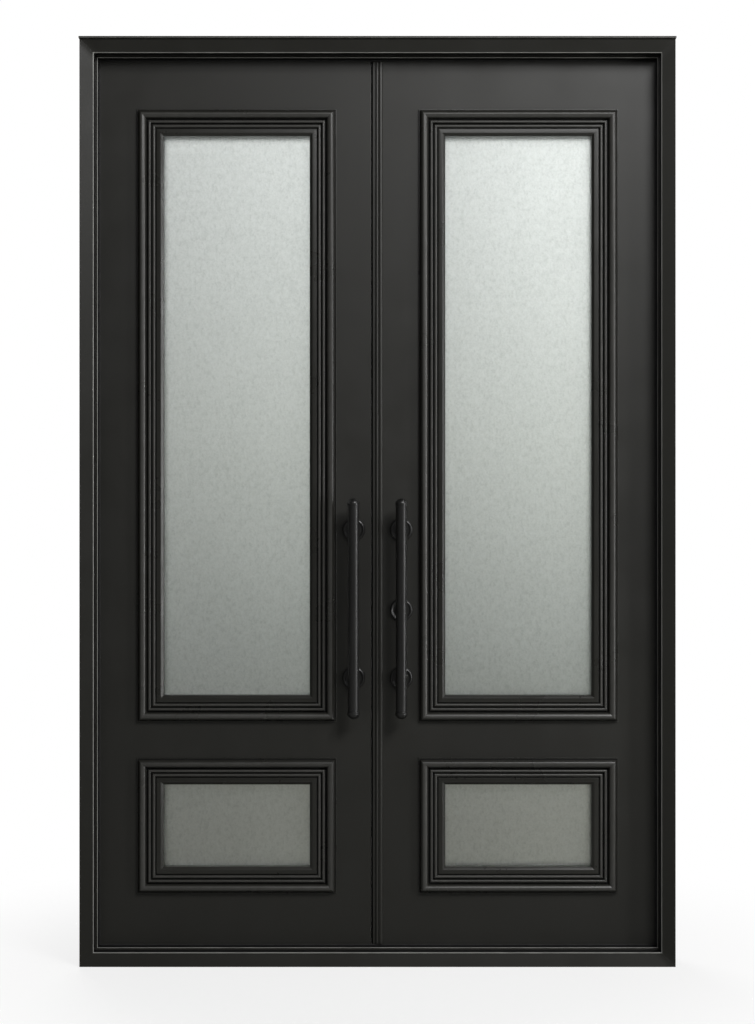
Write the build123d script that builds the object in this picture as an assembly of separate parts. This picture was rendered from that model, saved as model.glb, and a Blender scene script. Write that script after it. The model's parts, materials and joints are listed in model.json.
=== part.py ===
from build123d import *
from math import cos, radians, sqrt
import os

os.makedirs("parts", exist_ok=True)

# Frame, in millimetres, seen from outside: X to the right, Y into the house, Z up
FRAME_WIDTH = 1562.0
FRAME_HEIGHT = 2438.0
FRAME_DEPTH = 116.0
FRAME_WALL = 2.0
FACE_WIDTH = 36.0
FACE_RETURN = 38.0
STOP_STEP = 6.5
RABBET_WIDTH = 28.0
FRAME_ARRIS = 2.5
CAP_HEIGHT = 5.0
CAP_WIDTH = 44.0
CAP_PROUD = 6.0
CAP_SIDE_LAP = 1.5
CAP_ROUND = 1.5

# Anchor holes through the rabbet of each jamb
ANCHOR_DIAMETER = 10.0
ANCHOR_SPACING = 500.0
LOWER_ANCHORS_RISE = 600.0
UPPER_ANCHORS_DROP = 633.0

# Leaves and the gaps around them
LEAF_THICKNESS = 50.0
LEAF_WALL = 2.0
LEAF_ARRIS = 2.5
LEAF_EDGE_GAP = 4.0
LEAF_FOOT_GAP = 5.0
MEETING_GAP = 4.5
MEETING_OFFSET = -14.5
DRAIN_DIAMETER = 8.0

# Stiles and rails around the lights, and the middle of the frame to a light's opening
HINGE_STILE_WIDTH = 166.4
MEETING_STILE_REACH = 164.6
TOP_RAIL_HEIGHT = 196.3
MIDDLE_RAIL_HEIGHT = 206.7
BOTTOM_RAIL_HEIGHT = 202.6

# Rubber seal between the stop and the leaves
SEAL_GAP = 3.0
SEAL_WIDTH = 13.0
SEAL_LAP = 3.5
SEAL_ROUND = 1.2
SEAL_SHARE = 0.9

# Rubber fin seal between the leaves, on the meeting edge of the right leaf
FIN_BASE_WIDTH = 7.0
FIN_BASE_THICKNESS = 1.2
FIN_THICKNESS = 1.6
FIN_ROUND = 0.6
FIN_TIP_GAP = 0.3
FIN_BACK_INSET = 4.0

# Glazed lights of each leaf, the sight being what is seen of the glass
LOWER_SIGHT_HEIGHT = 218.4
UNIT_SETBACK = 22.0
PANE_THICKNESS = 5.0
PANE_APART = 14.0
PANE_LAP = 12.0
PANE_EDGE_GAP = 3.0
SPACER_WIDTH = 8.0
SPACER_INSET = 1.5

# Moulding section: each row is a line to a point, or an arc through one point to the next
MOULDING_WIDTH = 71.0
MOULDING_HEIGHT = 18.0
MOULDING_SHARES = (
    ((0.000, 0.15),),
    ((0.040, 0.15),),
    ((0.046, 0.05),),
    ((0.068, 0.05),),
    ((0.068, 0.42),),
    ((0.118, 0.87), (0.211, 1.00)),
    ((0.300, 0.86), (0.366, 0.52)),
    ((0.366, 0.22),),
    ((0.430, 0.22),),
    ((0.430, 0.44),),
    ((0.483, 0.65), (0.536, 0.44)),
    ((0.536, 0.20),),
    ((0.576, 0.20),),
    ((0.576, 0.28),),
    ((0.640, 0.51), (0.704, 0.28)),
    ((0.704, 0.14),),
    ((0.742, 0.14),),
    ((0.742, 0.34),),
    ((0.900, 0.34),),
    ((1.000, 0.05),),
    ((1.000, 0.00),),
    ((0.000, 0.00),),
)

# Astragal strip on the meeting edge of the right leaf
ASTRAGAL_WIDTH = 26.5
ASTRAGAL_HEIGHT = 7.0
ASTRAGAL_END_GAP = 1.5
ASTRAGAL_SHARES = (
    ((0.00, 0.50),),
    ((0.19, 0.50),),
    ((0.19, 0.10),),
    ((0.30, 0.10),),
    ((0.30, 0.70),),
    ((0.41, 0.86), (0.52, 0.70)),
    ((0.55, 0.62),),
    ((0.78, 1.00), (1.00, 0.30)),
    ((1.00, 0.00),),
    ((0.00, 0.00),),
)

# Hinges on the inside face
HINGE_LENGTH = 110.0
HINGE_FOOT_INSET = 210.0
HINGE_COUNT = 4
HINGE_PLATE_THICKNESS = 3.0
FRAME_PLATE_WIDTH = 20.0
LEAF_PLATE_WIDTH = 36.0
KNUCKLE_DIAMETER = 20.0
KNUCKLE_GAP = 0.5
HINGE_CORNER = 4.0
END_KNUCKLE_SHARE = 0.3
PIN_DIAMETER = 12.0
PIN_CLEARANCE = 0.05
PIN_HEAD_DIAMETER = 17.0
PIN_HEAD_HEIGHT = 3.0

# Pull handles, the same outside and inside
PULL_OFFSET = 63.0
PULL_FOOT = 648.0
PULL_LENGTH = 580.0
PULL_STANDOFF = 55.0
PULL_DIAMETER = 30.0
PULL_CAP_PROUD = 1.25
PULL_CAP_LENGTH = 19.0
PULL_DOME_HEIGHT = 12.0
PULL_GROOVE_WIDTH = 2.0
PULL_GROOVE_DEPTH = 1.5
LOWER_POST_HEIGHT = 752.0
UPPER_POST_HEIGHT = 1145.0
POST_DIAMETER = 16.0
POST_SEAT = 8.0
POST_CLEARANCE = 0.1
STUD_DIAMETER = 10.0
STUD_GRIP = 14.0
STUD_CLEARANCE = 0.3

# Roses under the posts and around the lock
ROSE_DIAMETER = 61.0
ROSE_HEIGHT = 7.0
ROSE_BORE_CLEARANCE = 0.3
ROSE_DISH_SHARE = 0.55
ROSE_DISH_EDGE_SHARE = 0.68
ROSE_CREST_SHARE = 0.84
ROSE_SHOULDER_SHARE = 0.95
ROSE_SHOULDER_HEIGHT_SHARE = 0.75
ROSE_EDGE_HEIGHT_SHARE = 0.3

# Lock in the meeting stile of the right leaf
LOCK_HEIGHT = 932.0
EDGE_PLATE_THICKNESS = 3.0
EDGE_PLATE_WIDTH = 24.0
EDGE_PLATE_CLEARANCE = 0.2
LOCK_PLATE_LENGTH = 150.0
CASE_DEPTH = 108.0
CASE_HEIGHT = 120.0
CASE_THICKNESS = 18.0
CASE_WALL = 1.5
BOLT_THICKNESS = 14.0
BOLT_HEIGHT = 34.0
BOLT_LENGTH = 52.0
BOLT_CLEARANCE = 0.5
BOLT_CHAMFER = 1.0
BOLT_THROW = 25.0
TAIL_LAP = 12.0
TAIL_MARGIN = 4.0
TAIL_THICKNESS = 5.5
TAIL_FOOT = 6.0
ARM_PIN_DIAMETER = 6.0
ARM_PIN_CLEARANCE = 0.7
ARM_THICKNESS = 4.0
ARM_WIDTH = 9.0
ARM_INSET = 1.0
ARM_TURN = 90.0
HUB_DIAMETER = 14.0
SPINDLE_DIAMETER = 8.0
SPINDLE_CLEARANCE = 0.3
SPINDLE_END_GAP = 0.3

# Key cylinder outside and thumb turn inside
CYLINDER_DIAMETER = 28.0
CYLINDER_CLEARANCE = 0.2
CYLINDER_PROUD = 9.0
CYLINDER_CHAMFER = 1.0
PLUG_DIAMETER = 13.0
PLUG_CLEARANCE = 0.05
PLUG_INSET = 0.4
KEYWAY_WIDTH = 2.0
KEYWAY_HEIGHT = 8.0
KEYWAY_DEPTH = 16.0
TURN_BASE_DIAMETER = 20.0
TURN_BASE_HEIGHT = 6.0
TURN_GAP = 0.5
TURN_WIDTH = 9.0
TURN_LENGTH = 38.0
TURN_HEIGHT = 17.0
TURN_ROUND = 1.5

# Flush bolts and strike in the meeting edge of the left leaf
STRIKE_LENGTH = 110.0
FLUSH_PLATE_LENGTH = 150.0
FLUSH_PLATE_INSET = 240.0
FLUSH_ROD_DIAMETER = 12.0
FLUSH_ROD_INSET = 12.0
FLUSH_ROD_CLEARANCE = 0.1
FLUSH_HOLE_CLEARANCE = 0.5
FLUSH_THROW = 18.0
FLUSH_TIP_INSET = 1.0
SLIDE_WIDTH = 8.0
SLIDE_LENGTH = 20.0
SLIDE_INSET = 0.5
SLIDE_CLEARANCE = 0.5
GUIDE_LENGTH = 12.0
GUIDE_WIDTH = 18.0
GUIDE_REACH = 8.0

# How far a cut runs past what it cuts
OVERRUN = 5.0

# Positions that follow from the sizes above
FRONT = -FRAME_DEPTH / 2
BACK = FRAME_DEPTH / 2
LEAF_FRONT = BACK - LEAF_THICKNESS
LEAF_MIDDLE = BACK - LEAF_THICKNESS / 2
STOP_WIDTH = FACE_WIDTH + STOP_STEP
STOP_DEPTH = LEAF_FRONT - SEAL_GAP - FRONT
JAMB_HEIGHT = FRAME_HEIGHT - CAP_HEIGHT
HINGE_EDGE = FRAME_WIDTH / 2 - RABBET_WIDTH - LEAF_EDGE_GAP
RIGHT_EDGE = MEETING_OFFSET + MEETING_GAP / 2
LEFT_EDGE = MEETING_OFFSET - MEETING_GAP / 2
LEAF_FOOT = RABBET_WIDTH + LEAF_FOOT_GAP
LEAF_HEAD = JAMB_HEIGHT - RABBET_WIDTH - LEAF_EDGE_GAP
OPENING_LAP = PANE_LAP + PANE_EDGE_GAP
OPENING_INNER = MEETING_STILE_REACH
OPENING_OUTER = HINGE_EDGE - HINGE_STILE_WIDTH
LIGHT_OFFSET = (OPENING_INNER + OPENING_OUTER) / 2
SIGHT_WIDTH = OPENING_OUTER - OPENING_INNER - 2 * OPENING_LAP
LOWER_SIGHT_FOOT = LEAF_FOOT + BOTTOM_RAIL_HEIGHT + OPENING_LAP
LOWER_SIGHT_HEAD = LOWER_SIGHT_FOOT + LOWER_SIGHT_HEIGHT
UPPER_SIGHT_FOOT = LOWER_SIGHT_HEAD + MIDDLE_RAIL_HEIGHT + 2 * OPENING_LAP
UPPER_SIGHT_HEIGHT = LEAF_HEAD - TOP_RAIL_HEIGHT - OPENING_LAP - UPPER_SIGHT_FOOT
UNIT_THICKNESS = PANE_THICKNESS + PANE_APART + PANE_THICKNESS
HINGE_AXIS_X = HINGE_EDGE + LEAF_EDGE_GAP / 2
HINGE_AXIS_Y = BACK + KNUCKLE_DIAMETER / 2
ARM_LENGTH = BOLT_THROW / 2 / cos(radians(ARM_TURN / 2))
BOLT_FRONT = RIGHT_EDGE + BOLT_CLEARANCE
BOLT_SIDE = LEAF_MIDDLE - BOLT_THICKNESS / 2
CASE_SIDE = LEAF_MIDDLE - CASE_THICKNESS / 2
ARM_BACK = LEAF_MIDDLE + BOLT_THICKNESS / 2 - ARM_INSET
ARM_FRONT = ARM_BACK - ARM_THICKNESS
FLUSH_ROD_X = LEFT_EDGE - EDGE_PLATE_THICKNESS - FLUSH_ROD_INSET
LIGHTS = {
    "upper": (UPPER_SIGHT_FOOT, UPPER_SIGHT_HEIGHT),
    "lower": (LOWER_SIGHT_FOOT, LOWER_SIGHT_HEIGHT),
}
SIDES = {"left": -1, "right": 1}


def save(name, pieces):
    """Write one node's solids to its file."""
    solids = [solid for piece in pieces for solid in piece.solids()]
    shape = solids[0] if len(solids) == 1 else Compound(children=solids)
    shape.label = name
    export_step(shape, f"parts/{name}.step")


def block(x_range, y_range, z_range):
    """Box between two limits along each axis."""
    size = [max(limits) - min(limits) for limits in (x_range, y_range, z_range)]
    centre = [sum(limits) / 2 for limits in (x_range, y_range, z_range)]
    return Pos(*centre) * Box(*size)


def rod_y(x, z, diameter, y_range):
    """Round rod along Y between two limits."""
    length = max(y_range) - min(y_range)
    return Pos(x, sum(y_range) / 2, z) * Rot(90, 0, 0) * Cylinder(diameter / 2, length)


def rod_z(x, y, diameter, z_range):
    """Round rod along Z between two limits."""
    length = max(z_range) - min(z_range)
    return Pos(x, y, sum(z_range) / 2) * Cylinder(diameter / 2, length)


def section_face(rows, width, height):
    """Face on XY from a table of shares, its width along X and its height toward -Y."""
    edges = []
    here = (0, 0)
    for row in rows:
        points = [(across * width, -up * height) for across, up in row]
        if len(points) == 1:
            edges.append(Line(here, points[0]))
        else:
            edges.append(ThreePointArc(here, *points))
        here = points[-1]
    return make_face(Wire(edges))


def mitred_bar(section, across, length, reach, depth):
    """Bar along Z at the left edge of a mitred frame, cut at 45 degrees at both ends."""
    edge = -across / 2
    end = length / 2
    bar = extrude(Pos(edge, 0, -end) * section, amount=length, dir=(0, 0, 1))
    inner = edge + reach
    corners = [(edge, -end), (edge, end), (inner, end - reach), (inner, reach - end)]
    mitre = extrude(Plane.XZ * Polygon(*corners, align=None), amount=depth, both=True)
    return bar & mitre


def mitred_frame(section, width, height, reach, depth):
    """Left, right, foot and head bars of a mitred frame centred on the origin."""
    left = mitred_bar(section, width, height, reach, depth)
    foot = Rot(0, -90, 0) * mitred_bar(section, height, width, reach, depth)
    return [left, mirror(left, Plane.YZ), foot, mirror(foot, Plane.XY)]


def frame_section():
    """Hollow frame section: face, return, stop and rabbet, its outer edge at X 0."""
    corners = [
        (0, 0),
        (FACE_WIDTH, 0),
        (FACE_WIDTH, FACE_RETURN),
        (STOP_WIDTH, FACE_RETURN),
        (STOP_WIDTH, STOP_DEPTH),
        (RABBET_WIDTH, STOP_DEPTH),
        (RABBET_WIDTH, FRAME_DEPTH),
        (0, FRAME_DEPTH),
    ]
    solid = Polygon(*corners, align=None)
    hollow = offset(solid, amount=-FRAME_WALL, kind=Kind.INTERSECTION)
    shown = (Vector(FACE_WIDTH, 0), Vector(STOP_WIDTH, FACE_RETURN))
    arrises = [v for v in solid.vertices() if min((v.center() - s).length for s in shown) < FRAME_ARRIS]
    return fillet(arrises, FRAME_ARRIS) - hollow


def build_frame():
    """Jambs, head and threshold with their holes, the drip cap and the seals."""
    middle = Pos(0, FRONT, JAMB_HEIGHT / 2)
    reach = STOP_WIDTH + OVERRUN
    bars = mitred_frame(frame_section(), FRAME_WIDTH, JAMB_HEIGHT, reach, FRAME_DEPTH + OVERRUN)
    left, right, foot, head = [middle * bar for bar in bars]
    anchor_y = FRONT + (STOP_DEPTH + FRAME_DEPTH) / 2
    drill = Rot(0, 90, 0) * Cylinder(ANCHOR_DIAMETER / 2, FRAME_WIDTH + OVERRUN)
    for centre in (LOWER_ANCHORS_RISE, JAMB_HEIGHT - UPPER_ANCHORS_DROP):
        for height in (centre - ANCHOR_SPACING / 2, centre + ANCHOR_SPACING / 2):
            left -= Pos(0, anchor_y, height) * drill
            right -= Pos(0, anchor_y, height) * drill
    hole = FLUSH_ROD_DIAMETER + 2 * FLUSH_HOLE_CLEARANCE
    foot -= rod_z(FLUSH_ROD_X, LEAF_MIDDLE, hole, (RABBET_WIDTH / 2, RABBET_WIDTH + OVERRUN))
    head_rabbet = JAMB_HEIGHT - RABBET_WIDTH
    head -= rod_z(FLUSH_ROD_X, LEAF_MIDDLE, hole, (head_rabbet - OVERRUN, head_rabbet + RABBET_WIDTH / 2))
    save("left_jamb", [left])
    save("right_jamb", [right])
    save("threshold", [foot])
    save("head", [head])
    cap_side = FRAME_WIDTH / 2 + CAP_SIDE_LAP
    cap_front = FRONT - CAP_PROUD
    cap = block((-cap_side, cap_side), (cap_front, cap_front + CAP_WIDTH), (JAMB_HEIGHT, FRAME_HEIGHT))
    lip = cap.edges().filter_by(Axis.X).group_by(Axis.Y)[0]
    save("drip_cap", [fillet(lip, CAP_ROUND)])
    build_seals()


def build_seals():
    """Four mitred lengths of seal behind the stop, just short of the leaves."""
    thickness = SEAL_GAP * SEAL_SHARE
    outer = STOP_WIDTH + SEAL_LAP - SEAL_WIDTH
    strip = Pos(SEAL_WIDTH / 2, thickness / 2) * Rectangle(SEAL_WIDTH, thickness)
    nose = strip.vertices().group_by(Axis.X)[-1]
    strip = fillet(nose, SEAL_ROUND)
    seals = mitred_frame(
        strip, FRAME_WIDTH - 2 * outer, JAMB_HEIGHT - 2 * outer, SEAL_WIDTH, SEAL_WIDTH
    )
    middle = Pos(0, FRONT + STOP_DEPTH, JAMB_HEIGHT / 2)
    save("frame_seals", [middle * seal for seal in seals])


def stile(edge, inner_edge):
    """Closed upright tube of a leaf, rounded along the leaf's edge, with a drain hole in its foot."""
    x_range = sorted((edge, inner_edge))
    shell = block(x_range, (LEAF_FRONT, BACK), (LEAF_FOOT, LEAF_HEAD))
    uprights = shell.edges().filter_by(Axis.Z).group_by(Axis.X)
    shell = fillet(uprights[0 if edge < inner_edge else -1], LEAF_ARRIS)
    inner_x = (min(x_range) + LEAF_WALL, max(x_range) - LEAF_WALL)
    inner_y = (LEAF_FRONT + LEAF_WALL, BACK - LEAF_WALL)
    shell -= block(inner_x, inner_y, (LEAF_FOOT + LEAF_WALL, LEAF_HEAD - LEAF_WALL))
    drain = (LEAF_FOOT - OVERRUN, LEAF_FOOT + LEAF_WALL + OVERRUN)
    return shell - rod_z(sum(x_range) / 2, LEAF_MIDDLE, DRAIN_DIAMETER, drain)


def rail(x_range, z_range):
    """Level tube between two stiles, open at its welded ends."""
    inner_x = (min(x_range) - OVERRUN, max(x_range) + OVERRUN)
    inner_y = (LEAF_FRONT + LEAF_WALL, BACK - LEAF_WALL)
    inner_z = (min(z_range) + LEAF_WALL, max(z_range) - LEAF_WALL)
    return block(x_range, (LEAF_FRONT, BACK), z_range) - block(inner_x, inner_y, inner_z)


def edge_window(edge, inward, height, length):
    """Cutter for a plate let into the meeting edge of a stile."""
    half_width = EDGE_PLATE_WIDTH / 2 + EDGE_PLATE_CLEARANCE
    half_length = length / 2 + EDGE_PLATE_CLEARANCE
    x_range = (edge - inward * OVERRUN, edge + inward * (LEAF_WALL + OVERRUN))
    y_range = (LEAF_MIDDLE - half_width, LEAF_MIDDLE + half_width)
    return block(x_range, y_range, (height - half_length, height + half_length))


def edge_plate(edge, inward, height, length, slot_width, slot_length):
    """Slotted plate flush with the meeting edge of a leaf."""
    x_range = (edge, edge + inward * EDGE_PLATE_THICKNESS)
    half = EDGE_PLATE_WIDTH / 2
    z_range = (height - length / 2, height + length / 2)
    plate = block(x_range, (LEAF_MIDDLE - half, LEAF_MIDDLE + half), z_range)
    through = (edge - inward * OVERRUN, edge + inward * (EDGE_PLATE_THICKNESS + OVERRUN))
    slot_y = (LEAF_MIDDLE - slot_width / 2, LEAF_MIDDLE + slot_width / 2)
    return plate - block(through, slot_y, (height - slot_length / 2, height + slot_length / 2))


def build_tubes(name, sign):
    """Stiles and rails of one leaf, with the holes for its fittings."""
    edge = RIGHT_EDGE if sign > 0 else LEFT_EDGE
    hinge_stile = stile(sign * HINGE_EDGE, sign * OPENING_OUTER)
    meeting_stile = stile(edge, sign * OPENING_INNER)
    through = (LEAF_FRONT - OVERRUN, BACK + OVERRUN)
    for height in (LOWER_POST_HEIGHT, UPPER_POST_HEIGHT):
        hole = STUD_DIAMETER + 2 * STUD_CLEARANCE
        meeting_stile -= rod_y(sign * PULL_OFFSET, height, hole, through)
    if sign > 0:
        meeting_stile -= edge_window(edge, 1, LOCK_HEIGHT, LOCK_PLATE_LENGTH)
        bore = CYLINDER_DIAMETER + 2 * CYLINDER_CLEARANCE
        meeting_stile -= rod_y(PULL_OFFSET, LOCK_HEIGHT, bore, (LEAF_FRONT - OVERRUN, LEAF_MIDDLE))
        bore = HUB_DIAMETER + 2 * SPINDLE_CLEARANCE
        meeting_stile -= rod_y(PULL_OFFSET, LOCK_HEIGHT, bore, (LEAF_MIDDLE, BACK + OVERRUN))
    else:
        meeting_stile -= edge_window(edge, -1, LOCK_HEIGHT, STRIKE_LENGTH)
        rod = FLUSH_ROD_DIAMETER + 2 * FLUSH_ROD_CLEARANCE
        ends = {LEAF_FOOT: FLUSH_PLATE_INSET, LEAF_HEAD: -FLUSH_PLATE_INSET}
        for end, inset in ends.items():
            meeting_stile -= edge_window(edge, -1, end + inset, FLUSH_PLATE_LENGTH)
            cut = (end - LEAF_WALL - OVERRUN, end + LEAF_WALL + OVERRUN)
            meeting_stile -= rod_z(FLUSH_ROD_X, LEAF_MIDDLE, rod, cut)
    save(f"{name}_hinge_stile", [hinge_stile])
    save(f"{name}_meeting_stile", [meeting_stile])
    x_range = sorted((sign * OPENING_INNER, sign * OPENING_OUTER))
    upper_head = UPPER_SIGHT_FOOT + UPPER_SIGHT_HEIGHT + OPENING_LAP
    lower_head = LOWER_SIGHT_FOOT + LOWER_SIGHT_HEIGHT + OPENING_LAP
    save(f"{name}_top_rail", [rail(x_range, (upper_head, LEAF_HEAD))])
    save(f"{name}_middle_rail", [rail(x_range, (lower_head, UPPER_SIGHT_FOOT - OPENING_LAP))])
    save(f"{name}_bottom_rail", [rail(x_range, (LEAF_FOOT, LOWER_SIGHT_FOOT - OPENING_LAP))])


def moulding_leg(depth):
    """Leg of a moulding's section that reaches back from its sight edge to the glass."""
    return Pos(MOULDING_WIDTH - PANE_LAP / 2, depth / 2) * Rectangle(PANE_LAP, depth)


def build_lights(name, sign):
    """Mouldings, panes and spacers of both lights of one leaf."""
    face = section_face(MOULDING_SHARES, MOULDING_WIDTH, MOULDING_HEIGHT)
    outer = face + moulding_leg(UNIT_SETBACK)
    inner = mirror(face + moulding_leg(LEAF_THICKNESS - UNIT_THICKNESS - UNIT_SETBACK), Plane.XZ)
    width = SIGHT_WIDTH + 2 * MOULDING_WIDTH
    unit_front = LEAF_FRONT + UNIT_SETBACK
    spacers = []
    for light, (foot, height) in LIGHTS.items():
        x, z = sign * LIGHT_OFFSET, foot + height / 2
        tall = height + 2 * MOULDING_WIDTH
        front = mitred_frame(outer, width, tall, MOULDING_WIDTH, LEAF_THICKNESS)
        save(f"{name}_{light}_outer_moulding", [Pos(x, LEAF_FRONT, z) * bar for bar in front])
        behind = mitred_frame(inner, width, tall, MOULDING_WIDTH, LEAF_THICKNESS)
        save(f"{name}_{light}_inner_moulding", [Pos(x, BACK, z) * bar for bar in behind])
        pane_x, pane_z = SIGHT_WIDTH + 2 * PANE_LAP, height + 2 * PANE_LAP
        pane = Pos(x, unit_front + PANE_THICKNESS / 2, z) * Box(pane_x, PANE_THICKNESS, pane_z)
        save(f"{name}_{light}_outer_pane", [pane])
        save(f"{name}_{light}_inner_pane", [Pos(0, UNIT_THICKNESS - PANE_THICKNESS, 0) * pane])
        ring_x, ring_z = pane_x - 2 * SPACER_INSET, pane_z - 2 * SPACER_INSET
        ring = Box(ring_x, PANE_APART, ring_z)
        ring -= Box(ring_x - 2 * SPACER_WIDTH, PANE_APART + OVERRUN, ring_z - 2 * SPACER_WIDTH)
        spacers.append(Pos(x, unit_front + UNIT_THICKNESS / 2, z) * ring)
    save(f"{name}_glass_spacers", spacers)


def hinge_half(plate_width, knuckles):
    """Plate and knuckles of half a hinge around its axis, the plate toward +X."""
    radius = KNUCKLE_DIAMETER / 2
    back = HINGE_PLATE_THICKNESS - radius
    start = sqrt((radius + KNUCKLE_GAP) ** 2 - back**2)
    half = block((start, start + plate_width), (-radius, back), (0, HINGE_LENGTH))
    half = fillet(half.edges().filter_by(Axis.Y).group_by(Axis.X)[-1], HINGE_CORNER)
    for z_range in knuckles:
        half += rod_z(0, 0, KNUCKLE_DIAMETER, z_range)
        half += block((0, start), (-radius, back), z_range)
    bore = PIN_DIAMETER + 2 * PIN_CLEARANCE
    return half - rod_z(0, 0, bore, (-OVERRUN, HINGE_LENGTH + OVERRUN))


def build_hinges(name, sign):
    """Hinges of one leaf: plates on the jamb, plates on the leaf, and pins."""
    end = HINGE_LENGTH * END_KNUCKLE_SHARE
    ends = ((0, end), (HINGE_LENGTH - end, HINGE_LENGTH))
    frame_half = hinge_half(FRAME_PLATE_WIDTH, ends)
    middle = ((end + KNUCKLE_GAP, HINGE_LENGTH - end - KNUCKLE_GAP),)
    leaf_half = mirror(hinge_half(LEAF_PLATE_WIDTH, middle), Plane.YZ)
    pin = rod_z(0, 0, PIN_DIAMETER, (0, HINGE_LENGTH))
    pin += rod_z(0, 0, PIN_HEAD_DIAMETER, (HINGE_LENGTH, HINGE_LENGTH + PIN_HEAD_HEIGHT))
    lowest = LEAF_FOOT + HINGE_FOOT_INSET - HINGE_LENGTH / 2
    highest = LEAF_HEAD - HINGE_FOOT_INSET - HINGE_LENGTH / 2
    step = (highest - lowest) / (HINGE_COUNT - 1)
    places = [Pos(HINGE_AXIS_X, HINGE_AXIS_Y, lowest + step * n) for n in range(HINGE_COUNT)]
    pieces = {"hinge_frame_plates": frame_half, "hinge_leaf_plates": leaf_half, "hinge_pins": pin}
    for node, piece in pieces.items():
        group = [place * piece for place in places]
        if sign < 0:
            group = [mirror(piece, Plane.YZ) for piece in group]
        save(f"{name}_{node}", group)


def pull_bar():
    """Round bar along Z from its foot, with grooved domed caps."""
    bar = PULL_DIAMETER / 2
    cap = bar + PULL_CAP_PROUD
    neck = bar - PULL_GROOVE_DEPTH
    shoulder = PULL_CAP_LENGTH + PULL_GROOVE_WIDTH
    mid = PULL_LENGTH / 2
    arc = TangentArc((0, 0), (cap, PULL_DOME_HEIGHT), tangent=(1, 0))
    side = Polyline(
        (cap, PULL_DOME_HEIGHT),
        (cap, PULL_CAP_LENGTH),
        (neck, PULL_CAP_LENGTH),
        (neck, shoulder),
        (bar, shoulder),
        (bar, mid),
        (0, mid),
        (0, 0),
    )
    half = revolve(Plane.XZ * make_face(Wire([arc] + side.edges())), Axis.Z)
    return half + Pos(0, 0, PULL_LENGTH) * mirror(half, Plane.XY)


def rose(bore):
    """Dished round rose with a rounded rim, standing on XY with a bore through it."""
    radius = ROSE_DIAMETER / 2
    dish = ROSE_HEIGHT * ROSE_DISH_SHARE
    crest = (radius * ROSE_CREST_SHARE, ROSE_HEIGHT)
    edge = (radius, ROSE_HEIGHT * ROSE_EDGE_HEIGHT_SHARE)
    shoulder = (radius * ROSE_SHOULDER_SHARE, ROSE_HEIGHT * ROSE_SHOULDER_HEIGHT_SHARE)
    lip = (radius * ROSE_DISH_EDGE_SHARE, dish)
    rise = ((lip[0] + crest[0]) / 2, (dish + ROSE_HEIGHT) / 2)
    inner = bore / 2
    path = [
        Line((inner, 0), (inner, dish)),
        Line((inner, dish), lip),
        Line(lip, rise),
        Line(rise, crest),
        ThreePointArc(crest, shoulder, edge),
        Line(edge, (radius, 0)),
        Line((radius, 0), (inner, 0)),
    ]
    return revolve(Plane.XZ * make_face(Wire(path)), Axis.Z)


def build_pull(name, sign):
    """Pull bars, posts and roses of one leaf, outside and inside."""
    x = sign * PULL_OFFSET
    posts = (LOWER_POST_HEIGHT, UPPER_POST_HEIGHT)
    sides = {"outer": (LEAF_FRONT, -1), "inner": (BACK, 1)}
    seat = PULL_DIAMETER / 2 - POST_SEAT
    roses = []
    for side, (face, out) in sides.items():
        bar_y = face + out * PULL_STANDOFF
        bar = Pos(x, bar_y, PULL_FOOT) * pull_bar()
        post_end = bar_y - out * seat
        group = []
        for height in posts:
            hole = POST_DIAMETER + 2 * POST_CLEARANCE
            bar -= rod_y(x, height, hole, sorted((post_end, face)))
            post = rod_y(x, height, POST_DIAMETER, sorted((post_end, face)))
            if out < 0:
                post += rod_y(x, height, STUD_DIAMETER, (face, BACK + STUD_GRIP))
            else:
                bore = STUD_DIAMETER + 2 * STUD_CLEARANCE
                post -= rod_y(x, height, bore, (face - OVERRUN, face + STUD_GRIP + STUD_CLEARANCE))
            group.append(post)
            ring = rose(POST_DIAMETER + 2 * ROSE_BORE_CLEARANCE)
            roses.append(Pos(x, face, height) * Rot(-90 * out, 0, 0) * ring)
        if sign > 0:
            bore = CYLINDER_DIAMETER if out < 0 else HUB_DIAMETER
            ring = rose(bore + 2 * ROSE_BORE_CLEARANCE)
            roses.append(Pos(x, face, LOCK_HEIGHT) * Rot(-90 * out, 0, 0) * ring)
        save(f"{name}_{side}_pull_bar", [bar])
        save(f"{name}_{side}_pull_posts", group)
    save(f"{name}_pull_roses", roses)


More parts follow.
